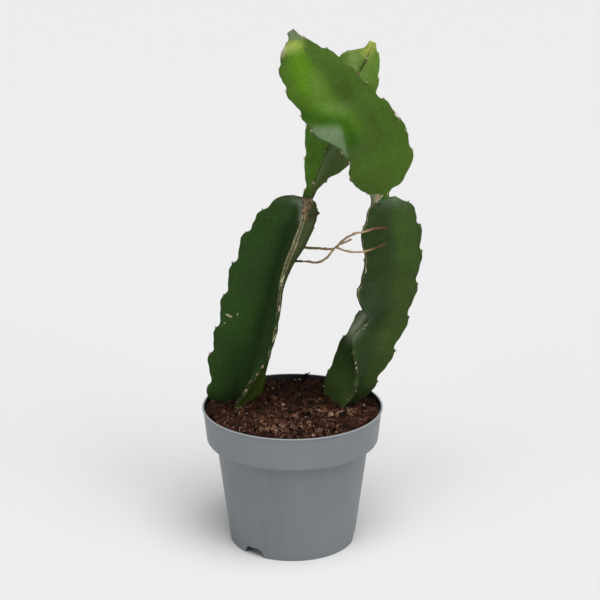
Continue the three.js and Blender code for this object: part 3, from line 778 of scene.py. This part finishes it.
class Skin:
    """Points of a stem, where each lies on it, and what is painted on them."""

    def __init__(self, points, rings, columns, base):
        self.points = points
        self.wing, self.inward, self.edge, self.fold, self.side = (
            np.append(np.stack([np.broadcast_to(c[k], rings) for c in columns], 1), [end, end])
            for k, end in ((1, -1), (2, 9), (3, 9), (4, 1), (5, 0))
        )
        self.tint_and_shading = np.tile(np.array(base, float), (len(points), 1))
        self.cork = np.zeros(len(points))
        self.seam = np.zeros(len(points))

    def paint(self, colour, share):
        share = np.clip(share, 0, 1)[:, None]
        self.tint_and_shading = self.tint_and_shading * (1 - share) + np.array(colour) * share

    def near(self, radius, *route):
        """1 on a route through the given places, or at one place, and fading away from it."""
        route = np.array(route, float)
        far = np.linalg.norm(self.points - route[0], axis=1)
        for a, b in zip(route, route[1:]):
            u = np.clip((self.points - a) @ (b - a) / ((b - a) @ (b - a)), 0, 1)
            far = np.minimum(far, np.linalg.norm(self.points - a - u[:, None] * (b - a), axis=1))
        return hump(far, radius)

    def spot(self, colour, share, radius, *route, on=1):
        """Paints near a place or a route, only on the part given."""
        self.paint(colour, share * self.near(radius, *route) * on)

    def heights(self, low, high, blur):
        return rise(self.points[:, 2] - low, blur) * rise(high - self.points[:, 2], blur)

    def flank(self, wing, side):
        """The flank of a wing on one side, from its margin to the middle of the valley."""
        return (self.wing == wing) & (self.side * side > 0)

    def ripple(self, wavelength, seed):
        return ripple(self.points, wavelength, seed)


skins = {}


def winged_stem(name, stem, material, slot, node, base, paint, seed):
    """Fine stem that stands for its CAD node, painted by the function given."""
    t = ring_heights(stem)
    centre, along, right, away = frames(stem, t)
    columns = stem_columns(stem, t)
    grid = np.stack([centre + c[0][:, :1] * right + c[0][:, 1:] * away for c in columns], 1)
    faces = point_ended(len(t), len(columns))
    points = np.concatenate([grid.reshape(-1, 3), centre[:1], centre[-1:]])

    # Uneven growth: shallow swells over the faces, and a small cushion under each areole
    normal = np.cross(np.roll(grid, -1, 1) - np.roll(grid, 1, 1), np.gradient(grid, axis=0))
    normal = np.concatenate([unit(normal + 1e-9).reshape(-1, 3), -along[:1], along[-1:]])
    lift = sum(height * ripple(points, length, seed + k) for k, (height, length) in enumerate(SWELLS))
    far = [np.linalg.norm(points - place, axis=1) for place, *_ in margin_places(stem)]
    lift += CUSHION_HEIGHT * hump(np.min(far, axis=0), CUSHION_RADIUS)
    below_top = 1 - np.append(np.repeat(t, len(columns)), [0, 1])
    lift *= np.clip(30 * below_top, 0, 1)
    points = points + normal * lift[:, None]

    skin = Skin(points, len(t), columns, base)
    paint(skin)
    attributes = {"tint_and_shading": skin.tint_and_shading, "edge": skin.edge, "cork": skin.cork, "seam": skin.seam}
    dress(link_mesh(name, points, faces, [material], attributes), slot, node)
    skins[name] = BVHTree.FromPolygons(points.tolist(), faces)


# Tubes and crumbs
def tube(path, radii, sides):
    """Closed tube along a path."""
    path = np.asarray(path, float)
    tangent = unit(np.gradient(path, axis=0))
    normal = np.cross(tangent[0], [0.3, 0.5, 0.81])
    turn = turns(sides)[:, None]
    rings = []
    for centre, direction, radius in zip(path, tangent, radii):
        normal = unit(normal - direction * (normal @ direction))
        side = np.cross(direction, normal)
        rings.append(centre + radius * (np.cos(turn) * normal + np.sin(turn) * side))
    return np.concatenate(rings), flat_ended(len(path), sides)


def icosphere(level):
    made = bmesh.new()
    bmesh.ops.create_icosphere(made, subdivisions=level, radius=1)
    points = np.array([v.co[:] for v in made.verts])
    faces = [[v.index for v in f.verts] for f in made.faces]
    made.free()
    return points, faces


CRUMB, PEBBLE = icosphere(1), icosphere(2)


def crumb(shape, place, radii, rng, rough=0.3):
    """Lumpy bit at a random attitude."""
    points, faces = shape
    bumpy = points * (1 + rng.uniform(-rough, rough, (len(points), 1)))
    attitude, _ = np.linalg.qr(rng.normal(size=(3, 3)))
    if np.linalg.det(attitude) < 0:
        attitude[:, 0] *= -1
    return (bumpy * radii) @ attitude.T + place, faces


def areoles(name, stem, slot, lowest, felt, spine_length, hairs, seed):
    """Felt cushions on the margins, each with a few short spines."""
    rng = np.random.default_rng(seed)
    cushions, spines = Pile(), Pile()
    ball, faces = PEBBLE
    for foot, out, along, side in margin_places(stem):
        if foot[2] < lowest:
            continue
        shaped = ball * (1 + rng.uniform(-0.14, 0.14, (len(ball), 1))) * rng.uniform(0.85, 1.15)
        basis = np.stack([out * FELT_DEPTH, along * FELT_WIDTH * FELT_STRETCH, side * FELT_WIDTH])
        cushions.add(foot + out * 0.25 + shaped @ basis, faces, rng.uniform(0.2, 0.9))
        for _ in range(hairs):
            lean = rng.normal(scale=0.75, size=2)
            direction = unit(out + along * lean[0] + side * lean[1])
            start = foot + along * rng.uniform(-0.7, 0.7) + side * rng.uniform(-0.5, 0.5)
            path = [start, start + direction * 0.7, start + direction * rng.uniform(1, 1.6)]
            cushions.add(*tube(path, [0.09, 0.07, 0.015], 3), rng.uniform(0.6, 1))
        for k in range(SPINES):
            fan = (k - (SPINES - 1) / 2) * SPINE_FAN + rng.uniform(-0.2, 0.2)
            direction = unit(out + along * (fan + 0.15) + side * rng.uniform(-0.45, 0.45))
            length = spine_length * rng.uniform(0.6, 1.05)
            start = foot - out * 0.4
            bow = along * rng.uniform(-0.12, 0.12) * length
            path = [start, start + direction * length * 0.5 + bow, start + direction * length]
            spine = tube(smooth_path(path, 6), np.linspace(0.26, 0.03, 6), 6)
            spines.add(*spine, np.linspace(0.75, 0.1, 36))
    cushions.build(name + "_felt", felt, slot)
    spines.build(name + "_spines", spine_material, slot)


# Colours of the stems and shoots
def paint_left_stem(skin):
    x, _, z = skin.points.T
    front = skin.wing == 1
    shaded_face = skin.flank(1, 1) | skin.flank(2, -1)
    skin.spot((0.034, 0.082, 0.014), 0.6, 15, (-33, 9, 150))
    skin.spot((0.034, 0.078, 0.018), 0.4, 15, (-20, 5, 214))
    skin.paint((0.026, 0.048, 0.015), 0.8 * skin.flank(1, -1))
    # Painted shade: a dark band down the valley between the left wing and the front wing.
    skin.spot(
        (0.014, 0.03, 0.01), 0.75, 5.5,
        (-2.7, 0, 217), (-10.6, 1.4, 193), (-16.6, 3.7, 166), (-23.4, 6.8, 137), (-31.1, 10.8, 112),
    )
    skin.paint((0.022, 0.032, 0.011), shaded_face)
    skin.paint((0.09, 0.12, 0.045), shaded_face * skin.heights(140, 300, 60))
    skin.spot((0.14, 0.175, 0.08), 0.8, 7, (10, 13, 212), (6, 11, 202), on=shaded_face)
    # Painted shade: the lower part is painted darker.
    skin.paint((0.022, 0.042, 0.014), 0.75 * skin.heights(0, 132, 40))
    skin.spot((0.036, 0.072, 0.018), 0.7, 10, (-50, 12, 118), (-47, 14, 103))
    # Painted light: the foot of the face in shade is painted lighter, in place of light that does not reach
    # it.
    skin.paint((0.08, 0.138, 0.02), 0.8 * shaded_face * skin.heights(0, 128, 30))
    crest = rise(2.2 - skin.edge, 0.6) * front
    skin.paint((0.17, 0.165, 0.09), 0.85 * crest * skin.heights(168, 300, 30))
    # Painted sheen along the top edge and round the upper right corner.
    skin.spot((0.17, 0.205, 0.148), 0.9, 2.6, (1, 3, 235), (5, 1, 234.5), (6, -4, 232), (5, -9, 226))
    skin.spot((0.066, 0.096, 0.044), 0.7, 2.4, (-10, 4, 234), (-4, 4, 234), (2, 4, 235))
    woody = np.maximum(
        skin.near(6.5, (9, 2, 233), (12, 7, 230)), skin.near(3.4, (8.2, -7.4, 230), (10, 2, 221)),
    )
    skin.cork = 1.1 * woody * (x > 6.2) * (z > 214)
    skin.seam = front * (0.35 + 0.45 * skin.heights(180, 300, 25) + 0.1 * skin.heights(60, 122, 12))
    skin.seam += 0.25 * front * skin.ripple(14, 21)


def paint_right_stem(skin):
    front = skin.wing == 1
    left_face = skin.flank(1, -1) | skin.flank(2, 1)
    # The right face is painted more olive and the left face darker: partly the skin's own tone, partly
    # painted light and shade.
    across = 0.5 * rise(skin.fold - 0.7, 0.3)
    skin.paint((0.052, 0.087, 0.024), np.where(skin.flank(0, -1), 1 - across, skin.flank(1, 1) * across))
    skin.spot((0.046, 0.1, 0.022), 0.6, 14, (72, 2, 205), on=skin.flank(0, -1))
    skin.paint((0.028, 0.054, 0.014), 0.9 * left_face)
    # Painted shade darkens the lower part, and painted light brightens the lower left face.
    skin.paint((0.019, 0.034, 0.01), 0.8 * skin.heights(0, 106, 24))
    skin.paint((0.08, 0.128, 0.036), 0.7 * left_face * skin.heights(0, 128, 20))
    # Painted sheen down the valley beside the lower lobe.
    skin.spot((0.05, 0.072, 0.036), 0.7, 5, (45, 2, 130), (44, 3, 118), (41, 2, 104), on=skin.flank(1, 1))
    # Painted light: the pale facet below the pinch and its margin are painted as if lit, where the lobe
    # above shades them.
    skin.spot((0.36, 0.43, 0.28), 0.95, 7, (47, 15, 150), (44, 17, 145), (41, 20, 140), on=left_face)
    skin.spot((0.11, 0.15, 0.085), 0.8, 3, (50, -2, 156), (45, -1, 148), (39, -8, 143))
    skin.spot((0.11, 0.14, 0.085), 0.7, 2.4, (48, -7, 161.5), (49, -3, 155.5))
    skin.spot((0.037, 0.058, 0.028), 0.85, 9, (50, -6, 172), (52, -4, 158), on=skin.flank(1, 1))
    # Painted sheen along the top edge, fading towards the ends.
    skin.spot((0.16, 0.228, 0.132), 0.9, 3.2, (58, 3.5, 233.5), (62, 6.5, 234), (67, 7.5, 233.5))
    skin.spot((0.085, 0.125, 0.065), 0.6, 3, (55, 0, 231.5), (73, 7, 230.5))
    skin.paint((0.18, 0.215, 0.13), left_face * skin.heights(205, 300, 12))
    skin.cork = 0.4 * skin.near(2, (57, 8, 233))
    skin.seam = front * (0.5 + 0.2 * skin.ripple(14, 31))
    skin.seam += 0.35 * front * skin.heights(214, 300, 4) - 0.2 * front * skin.heights(60, 146, 4)


def paint_left_shoot(skin):
    left_face = skin.flank(0, 1) | skin.flank(1, -1)
    right_face = skin.flank(1, 1) | skin.flank(2, -1)
    skin.paint((0.085, 0.195, 0.024), 0.85 * left_face)
    skin.paint((0.11, 0.165, 0.046), 0.85 * right_face)
    skin.paint((0.14, 0.255, 0.038), 0.9 * skin.heights(290, 400, 30) * left_face)
    skin.paint((0.165, 0.31, 0.036), 0.9 * skin.heights(286, 400, 26) * right_face)
    skin.spot((0.3, 0.42, 0.125), 0.8, 4.5, (38.5, 18.5, 324), (38, 17, 315), on=left_face)
    skin.spot((0.5, 0.59, 0.12), 0.95, 5.5, (49, 17, 330), (51.5, 19, 334))
    skin.spot((0.028, 0.055, 0.01), 0.7, 1.3, (46.6, 12.6, 322), (42, 10, 316))
    skin.paint((0.05, 0.075, 0.018), 0.8 * skin.heights(0, 243, 8))
    skin.cork = 0.75 * skin.heights(0, 236, 3)
    skin.seam = 0.12 + 0.2 * skin.ripple(9, 41)


def paint_right_shoot(skin):
    x, y, z = skin.points.T
    front = skin.flank(1, 1)
    # Painted glow: a bright yellow-green band where light shines through the thin wing.
    glow_band = hump(skin.inward - 14, 8.5) * skin.heights(282, 350, 18)
    skin.paint((0.1, 0.225, 0.011), np.where(front, glow_band, 0))
    skin.spot((0.09, 0.19, 0.012), 0.7, 8, (16, -19, 308), (26, -20, 298), (34, -21, 293))
    skin.spot((0.13, 0.228, 0.044), 0.6, 5.5, (14.5, -16, 317), (18, -19.5, 304), (29, -19, 297))
    skin.spot((0.047, 0.092, 0.014), 0.75, 8, (31, -15, 311), (37, -16, 303), (46, -14, 290))
    # Painted shade in the fold above and right of the paler facet.
    fold_shade_route = (7, -25, 296), (20, -27, 293.5), (33, -27, 290.5), (38, -27, 278)
    skin.spot((0.026, 0.095, 0.004), 0.8, 5, *fold_shade_route)

    # Below the painted fold shade lies a paler facet of painted sheen, where the twisted wing turns up to
    # the light; it ends at a slanting line on its right.
    right = rise(31.5 + 0.22 * (288.5 - z) - x, 1.6)
    sheen_facet = front * rise(291 - z, 5) * right * np.clip((x - 5) / 9, 0.3, 1) * skin.heights(266, 300, 4)
    skin.paint((0.135, 0.215, 0.095), sheen_facet)
    skin.spot((0.175, 0.25, 0.135), 0.85, 5.5, (25, -31, 286), (16, -31, 287), on=sheen_facet)
    skin.spot((0.2, 0.3, 0.14), 0.6, 5, (27, -32, 277), on=sheen_facet)
    skin.spot((0.43, 0.54, 0.12), 0.75, 4, (-2, -15, 336), (3, -14.5, 337.5))
    skin.spot((0.48, 0.44, 0.26), 0.8, 1.3, (-4.4, -15.2, 336.5), (-6, -16, 331))
    skin.paint((0.17, 0.225, 0.12), 0.9 * skin.heights(339.6, 400, 1.6))
    # Painted sheen: pale spots on the left margin.
    skin.spot((0.2, 0.24, 0.15), 0.5, 2.2, (-5, -15, 318), (0, -15, 309))

    # The narrow neck, above and below the slanting joint with the old stem. Below the joint it carries the
    # old stem's painted sheen, darker lower down.
    neck = skin.heights(0, 240.5, 1.5)
    above_joint = z - 230.8 - 1.74 * (x - 52.5)
    below_joint = rise(-above_joint, 0.8)
    front_strip = rise(x - 52.6, 0.6) * rise(56 - x, 0.6) * (y < 3)
    skin.paint((0.18, 0.215, 0.13), neck * rise(53.4 - x, 0.6))
    skin.paint((0.4, 0.335, 0.2), neck * front_strip)
    # Painted sheen below the joint, as on the old stem's top.
    skin.paint((0.12, 0.178, 0.092), skin.heights(0, 236.8, 1) * below_joint)
    skin.paint((0.06, 0.096, 0.042), skin.heights(0, 233.6, 1) * below_joint)
    skin.paint((0.62, 0.57, 0.4), skin.heights(0, 240, 1) * hump(above_joint, 0.8) * (y < 3))
    skin.cork = 0.2 * neck * front_strip
    skin.seam = 0.12 + 0.2 * skin.ripple(9, 51)


def make_stems():
    left = skin_material("old_skin_left", (0.05, 0.1, 0.02), (0.045, 0.07, 0.028), 0.4, 0.42, 0)
    right = skin_material("old_skin_right", (0.08, 0.12, 0.03), (0.06, 0.09, 0.04), 0.5, 0.42, 0)
    fresh = skin_material("young_skin", (0.1, 0.22, 0.02), (0.06, 0.085, 0.025), 0.6, 0.38, 0.05)
    old = ("old_stem", POT_HEIGHT - 4, old_felt, 2.4, 6)
    young = ("young_stem", 0, young_felt, 1.7, 14)
    stems = (
        ("left_cutting", stem_left, "stem_left", left, (0.032, 0.069, 0.019), paint_left_stem, old),
        ("right_cutting", stem_right, "stem_right", right, (0.037, 0.061, 0.021), paint_right_stem, old),
        ("left_shoot", shoot_left, "shoot_left", fresh, (0.06, 0.12, 0.018), paint_left_shoot, young),
        ("right_shoot", shoot_right, "shoot_right", fresh, (0.066, 0.132, 0.018), paint_right_shoot, young),
    )
    for k, (name, stem, node, material, base, paint, growth) in enumerate(stems):
        winged_stem(name, stem, material, growth[0], node, base, paint, 3 + 2 * k)
    for k, (name, stem, *_, growth) in enumerate(stems):
        areoles(name, stem, *growth, 61 + k)
    loose = Pile()
    for route in loose_fibres:
        loose.add(*tube(smooth_path(route, 14), np.linspace(0.38, 0.15, 14), 6), 0.5)
    loose.build("loose_fibres", young_felt, "young_stem")


def scar(tree, place, heading, length, width, rng):
    """Low crust with an uneven outline, draped over a skin with its rim sunk in."""
    spot, facing, *_ = (np.array(v) for v in tree.find_nearest(Vector(place)))
    ahead = unit(np.array(heading, float) - facing * np.dot(heading, facing))
    across = np.cross(facing, ahead)
    turn = turns(SCAR_SIDES)
    outline = 1 + 0.12 * np.sin(2 * turn + rng.uniform(0, 6)) + rng.uniform(-0.14, 0.14, SCAR_SIDES)
    points = []
    for share, height in SCAR_RINGS:
        ring = spot + np.outer(share * outline * np.cos(turn) * length / 2, ahead)
        ring = ring + np.outer(share * outline * np.sin(turn) * width / 2, across)
        heights = height * min(1, width) + rng.uniform(-0.04, 0.04, SCAR_SIDES)
        for p, lift in zip(ring, heights):
            on_skin, normal, *_ = tree.find_nearest(Vector(p))
            points.append(np.array(on_skin) + np.array(normal) * lift)
    return points, flat_ended(len(SCAR_RINGS), SCAR_SIDES)


def make_scars():
    rng = np.random.default_rng(111)
    crust = toned_material(
        "dry_scab", 0.85, 0.15, 900, 0.5,
        (0, 0.12, 0.075, 0.035), (0.45, 0.3, 0.23, 0.13), (0.9, 0.58, 0.53, 0.38),
    )
    for name, places in scars.items():
        pile = Pile()
        for row in places:
            pile.add(*scar(skins[name], *row, rng), rng.uniform(0.6, 1))
        pile.build(name + "_scars", crust, "old_stem")


def make_roots():
    rng = np.random.default_rng(71)
    pile = Pile()
    for number, (thickness, route) in enumerate(air_roots):
        steps = 14 * (len(route) - 1)
        path = smooth_path(route, steps)
        sway = 0.22 * np.stack([ripple(path, 7, 72 + number * 3 + c) for c in range(3)], 1)
        path = path + sway * np.minimum(1, 6 * np.linspace(0, 1, steps))[:, None]
        knots = 1 + 0.22 * ripple(path, 4.5, 90 + number) + 0.12 * ripple(path, 2.2, 95 + number)
        radii = thickness / 2 * knots
        radii[-3:] *= [0.85, 0.6, 0.25]
        points, faces = tube(path, radii, 12)
        points = points + rng.normal(scale=0.03, size=points.shape)
        tone = 0.72 - 0.54 * rise(path[:, 0] - 45, 9) - 0.45 * rise(10 - path[:, 0], 6)
        pile.add(points, faces, np.repeat(tone, 12))
    pile.build("air_roots", root_material(), "air_root", "aerial_roots")
    stub = Pile()
    thickness, route = root_stub
    path = smooth_path(route, 24)
    radii = thickness / 2 * (1.05 - 0.3 * np.linspace(0, 1, 24)) * (1 + 0.15 * ripple(path, 3, 99))
    stub.add(*tube(path, radii, 12), 0.45)
    stub.build("root_stub", spine_material, "old_stem")


# Pot
def rounded(profile, radius, steps=4):
    """The profile with each corner between its ends rounded."""
    made = [np.array(profile[0], float)]
    for points in zip(profile, profile[1:], profile[2:]):
        before, corner, after = (np.array(p, float) for p in points)
        reach = min(radius, *(0.4 * np.linalg.norm(p - corner) for p in (before, after)))
        start = corner + unit(before - corner) * reach
        end = corner + unit(after - corner) * reach
        for u in np.linspace(0, 1, steps):
            made.append((1 - u) ** 2 * start + 2 * u * (1 - u) * corner + u * u * end)
    made.append(np.array(profile[-1], float))
    return np.array(made)


def lathe(profile, sides):
    """Points and faces of a profile, which starts and ends on the axis, turned about it."""
    radii, heights = profile[1:-1].T
    turn = turns(sides)
    grid = np.stack([
        np.outer(radii, np.cos(turn)), np.outer(radii, np.sin(turn)), np.outer(heights, np.ones(sides)),
    ], -1)
    ends = [[0, 0, profile[0][1]], [0, 0, profile[-1][1]]]
    return np.concatenate([grid.reshape(-1, 3), ends]), point_ended(len(radii), sides)


def pot_wall_at(height):
    return BASE_RADIUS + (NECK_RADIUS - BASE_RADIUS) * height / COLLAR_BOTTOM - POT_WALL


def cut(piece, points, faces):
    """Takes a closed shape out of the piece."""
    cutter = link_mesh("cutter", points, faces, [])
    modifier = piece.modifiers.new("cut", "BOOLEAN")
    modifier.operation = "DIFFERENCE"
    modifier.solver = "EXACT"
    modifier.object = cutter
    evaluated = piece.evaluated_get(bpy.context.evaluated_depsgraph_get())
    mesh = bpy.data.meshes.new_from_object(evaluated)
    piece.modifiers.clear()
    old, piece.data = piece.data, mesh
    bpy.data.meshes.remove(old)
    bpy.data.objects.remove(cutter)


def around(bearing):
    """Directions out from the axis and across, at a bearing in degrees."""
    turn = math.radians(bearing)
    return np.array([math.cos(turn), math.sin(turn), 0]), np.array([-math.sin(turn), math.cos(turn), 0])


def make_pot():
    inner_collar = COLLAR_RADIUS - POT_WALL
    ledge = COLLAR_BOTTOM + POT_WALL
    under = [
        (0, 0), (CENTRE_FOOT_RADIUS, 0), (CENTRE_FOOT_RADIUS, FLOOR_BOTTOM),
        (pot_wall_at(FLOOR_BOTTOM), FLOOR_BOTTOM), (pot_wall_at(0), 0),
    ]
    outer = [
        (BASE_RADIUS, 0), (NECK_RADIUS, COLLAR_BOTTOM), (COLLAR_RADIUS - COLLAR_BEVEL, COLLAR_BOTTOM),
        (COLLAR_RADIUS, COLLAR_BOTTOM + COLLAR_BEVEL_HEIGHT),
        (RIM_RADIUS - LIP_OVERHANG, POT_HEIGHT - LIP_HEIGHT),
        (RIM_RADIUS, POT_HEIGHT - LIP_HEIGHT), (RIM_RADIUS, POT_HEIGHT),
    ]
    inner = [
        (RIM_RADIUS - LIP_WIDTH, POT_HEIGHT), (inner_collar, ledge + 1),
        (inner_collar - COLLAR_BEVEL, ledge), (NECK_RADIUS - POT_WALL, ledge),
        (pot_wall_at(FLOOR_TOP), FLOOR_TOP), (0, FLOOR_TOP),
    ]
    points, faces = lathe(rounded(under + outer + inner, POT_CORNER), POT_SIDES)
    piece = link_mesh("pot_shell", points, faces, [pot_outer_material(), pot_inner_material()])
    foot_half = NOTCH_WIDTH / 2 + (NOTCH_WIDTH - NOTCH_TOP_WIDTH) / NOTCH_HEIGHT / 2
    top_half = NOTCH_TOP_WIDTH / 2
    arch = rounded([
        (-foot_half, -1), (-top_half, NOTCH_HEIGHT), (top_half, NOTCH_HEIGHT), (foot_half, -1),
    ], NOTCH_CORNER)
    for k in range(NOTCHES):
        outward, across = around(FIRST_NOTCH_BEARING + 360 * k / NOTCHES)
        points = [outward * r + across * a + [0, 0, z] for r in NOTCH_REACH for a, z in arch]
        n = len(arch)
        faces = [range(n), range(2 * n - 1, n - 1, -1)]
        faces += [(i, i + n, (i + 1) % n + n, (i + 1) % n) for i in range(n)]
        cut(piece, points, faces)
    for k in range(DRAIN_HOLES):
        centre = DRAIN_RING_RADIUS * around(360 * k / DRAIN_HOLES)[0]
        ends = [centre + [0, 0, 1], centre + [0, 0, FLOOR_TOP + 3]]
        cut(piece, *tube(ends, [DRAIN_HOLE_RADIUS] * 2, 40))

    # The inside is black: faces above the floor that look at the axis, and the floor itself.
    for face in piece.data.polygons:
        centre, normal = face.center, face.normal
        facing_out = normal.x * centre.x + normal.y * centre.y
        inside = facing_out < -0.3 * math.hypot(centre.x, centre.y)
        above = centre.z > (FLOOR_BOTTOM + 0.5) * MM
        on_floor = abs(centre.z - FLOOR_TOP * MM) < 0.6 * MM or normal.z > 0.5 and centre.z < 80 * MM
        face.material_index = 1 if above and (inside or on_floor) else 0
    piece.data.shade_smooth()
    piece.data.set_sharp_from_angle(angle=math.radians(POT_SHARP_ANGLE))
    dress(piece, "pot_plastic", "pot")


# Soil
def soil_height(x, y):
    """Surface of the soil: a low mound with swells, lumps and crumbs."""
    share = 1 - (x * x + y * y) / RIM_RADIUS**2
    coarse = math.sin(0.31 * x + 1.3) * math.cos(0.27 * y - 0.4)
    fine = math.sin(0.74 * x - 0.5 * y) * math.cos(0.66 * y + 0.35 * x + 2)
    lumps = SOIL_LUMP * (0.6 * coarse + 0.4 * fine) * min(1, 2 * share)
    swell = SOIL_SWELL * math.cos(0.08 * y - 0.05 * x - 3.8)
    clods = noise.fractal(Vector((x * 0.16, y * 0.16, 3)), 0.9, 2, 6)
    return SOIL_EDGE_HEIGHT + SOIL_MOUND * share + swell + lumps + SOIL_CLOD * clods


def make_soil():
    inner_collar = COLLAR_RADIUS - POT_WALL
    neck = NECK_RADIUS - POT_WALL - NECK_GAP
    ledge = COLLAR_BOTTOM + POT_WALL
    wall_share = (SOIL_EDGE_HEIGHT - COLLAR_BOTTOM) / (POT_HEIGHT - COLLAR_BOTTOM)
    surface_radius = inner_collar + (RIM_RADIUS - LIP_WIDTH - inner_collar) * wall_share - SEAT_GAP
    side = [
        (0, FLOOR_TOP + SEAT_GAP), (BASE_RADIUS - POT_WALL, FLOOR_TOP + SEAT_GAP), (neck, ledge),
        (neck, ledge + SEAT_GAP), (inner_collar - SOIL_BEVEL, ledge + SEAT_GAP),
        (inner_collar - COLLAR_GAP, ledge + SOIL_BEVEL),
    ]
    surface = [(surface_radius * (1 - i / SOIL_RINGS), 0) for i in range(SOIL_RINGS)] + [(0, 0)]
    points, faces = lathe(np.array(side + surface, float), SOIL_SIDES)
    for i in np.flatnonzero(points[:, 2] == 0):
        points[i, 2] = soil_height(points[i, 0], points[i, 1])
    dress(link_mesh("potting_mix", points, faces, [soil_material()]), "potting_soil", "soil")

    rng = np.random.default_rng(81)

    def somewhere(centre=None, spread=None):
        """A place on the surface, anywhere or about a centre."""
        if centre is None:
            radius = (surface_radius - 1.5) * math.sqrt(rng.uniform())
            turn = rng.uniform(0, 2 * np.pi)
            return radius * math.cos(turn), radius * math.sin(turn)
        while True:
            x, y = rng.normal(centre, spread)
            if math.hypot(x, y) < surface_radius - 1:
                return x, y

    def raised(x, y, height):
        return x, y, soil_height(x, y) + height

    def tone_and_shade_at(x, y):
        """How light the mix is: painted shade darkens it along the wall and at the back, and clods make it
        uneven.
        """
        wall = 1 - (0.35 if x > 0 else 0.6) * (math.hypot(x, y) / surface_radius) ** 5
        clod = 0.72 + 0.75 * noise.noise(Vector((x * 0.13, y * 0.13, 7)))
        return clod * wall * (0.65 + 0.45 * min(1, max(0, (30 - y) / 40)))

    chips = Pile()
    for _ in range(CHIPS):
        x, y = somewhere()
        size = 0.5 + 2.1 * rng.uniform() ** 4
        bit = crumb(CRUMB, raised(x, y, 0.3 * size), size * rng.uniform(0.4, 1.3, 3), rng)
        chips.add(*bit, rng.uniform() ** 2 * tone_and_shade_at(x, y))
    for _ in range(FLAT_CHIPS):
        x, y = somewhere((-2, -38), (16, 9))
        radii = rng.uniform([0.6, 0.35, 0.15], [1.5, 0.7, 0.3])
        chips.add(*crumb(PEBBLE, raised(x, y, 0.7), radii, rng, 0.15), rng.uniform(0.75, 1))
    for lift, length in ((0.35, 7.5), (0.1, 5)):
        path = [(5.5, 53, 90.6), (8, 54.5, 93.9), (4.5 + length, 55.5, 96 + lift)]
        chips.add(*tube(smooth_path(path, 8), np.linspace(0.9, 0.35, 8), 6), 0.05)
    chips.build("mix_crumbs", toned_material(
        "crumbs", 0.9, 0.15, 700, 0.3, (0, 0.006, 0.003, 0.002), (0.4, 0.06, 0.025, 0.015),
        (0.75, 0.19, 0.085, 0.05), (1, 0.46, 0.29, 0.18),
    ), "potting_soil", sharp=40)

    fibres = Pile()

    def fibre(centre, spread, length, thickness, tone):
        x, y = somewhere(centre, spread)
        heading = rng.uniform(0, 2 * np.pi)
        curl = rng.normal(scale=0.5)
        stride = length / (FIBRE_STEPS - 1)
        light = tone_and_shade_at(x, y)
        arch = rng.uniform(0.2, 2.2)
        path = []
        for share in np.linspace(0, 1, FIBRE_STEPS):
            path.append(raised(x, y, 0.35 + arch * math.sin(np.pi * share) * rng.uniform(0.6, 1)))
            heading += curl + rng.normal(scale=0.35)
            next_x, next_y = x + stride * math.cos(heading), y + stride * math.sin(heading)
            if math.hypot(next_x, next_y) > surface_radius - 0.8:
                heading += np.pi / 2
            else:
                x, y = next_x, next_y
        radii = np.linspace(thickness, thickness * 0.4, 10) / 2
        fibres.add(*tube(smooth_path(path, 10), radii, 3), tone * light)

    for _ in range(FIBRES):
        fibre(None, None, rng.uniform(3, 12), rng.uniform(0.18, 0.42), 0.1 + 0.95 * rng.uniform() ** 1.6)
    for _ in range(FRONT_FIBRES):
        fibre((-2, -40), (16, 8), rng.uniform(2, 7), rng.uniform(0.18, 0.4), rng.uniform(0.8, 1.5))
    for _ in range(RIGHT_FIBRES):
        fibre((33, -6), (5, 3), rng.uniform(3, 9), rng.uniform(0.25, 0.5), rng.uniform(0.8, 1.15))
    fibres.build("mix_fibres", toned_material(
        "fibres", 0.85, 0.2, 500, 0.3, (0, 0.012, 0.005, 0.003), (0.4, 0.14, 0.052, 0.03),
        (0.7, 0.36, 0.155, 0.085), (1, 0.72, 0.46, 0.28),
    ), "potting_soil")

    grains = Pile()
    for _ in range(GRAINS):
        x, y = somewhere()
        size = rng.uniform(0.35, 1.05)
        radii = size * rng.uniform(0.7, 1.2, 3)
        grains.add(*crumb(PEBBLE, raised(x, y, 0.4 * size), radii, rng, 0.12), rng.uniform())
    grains.build("mix_grains", toned_material(
        "grains", 0.8, 0.3, 900, 0.3, (0, 0.22, 0.16, 0.13), (0.5, 0.48, 0.4, 0.34), (1, 0.8, 0.73, 0.66),
    ), "potting_soil")


# Stage: a plain pale floor, one large soft light above and two in front
def make_stage():
    corners = [(-12000, -12000, 0), (12000, -12000, 0), (12000, 12000, 0), (-12000, 12000, 0)]
    pale = Graph("pale_floor").finish((0.95, 0.95, 0.95), 0.9, 0.1)
    link_mesh("floor", corners, [(0, 1, 2, 3)], [pale])
    for name, bearing, elevation, spread, strength in (
        ("top_light", 20, 68, 50, 2),
        ("right_light", 48, 28, 40, 0.45),
        ("left_light", -42, 30, 40, 0.3),
    ):
        light = bpy.data.lights.new(name, "SUN")
        light.angle = math.radians(spread)
        light.energy = strength
        turn, height = math.radians(bearing), math.radians(elevation)
        level = math.cos(height)
        towards = Vector((math.sin(turn) * level, -math.cos(turn) * level, math.sin(height)))
        add_object(name, light).rotation_euler = towards.to_track_quat("Z", "Y").to_euler()
    world = bpy.data.worlds.new("studio")
    bpy.context.scene.world = world
    world.use_nodes = True
    background = world.node_tree.nodes["Background"]
    background.inputs["Color"].default_value = (1, 1, 1, 1)
    background.inputs["Strength"].default_value = 0.2
    bpy.context.scene.view_settings.view_transform = "Standard"


make_stage()
make_pot()
make_soil()
make_stems()
make_scars()
make_roots()
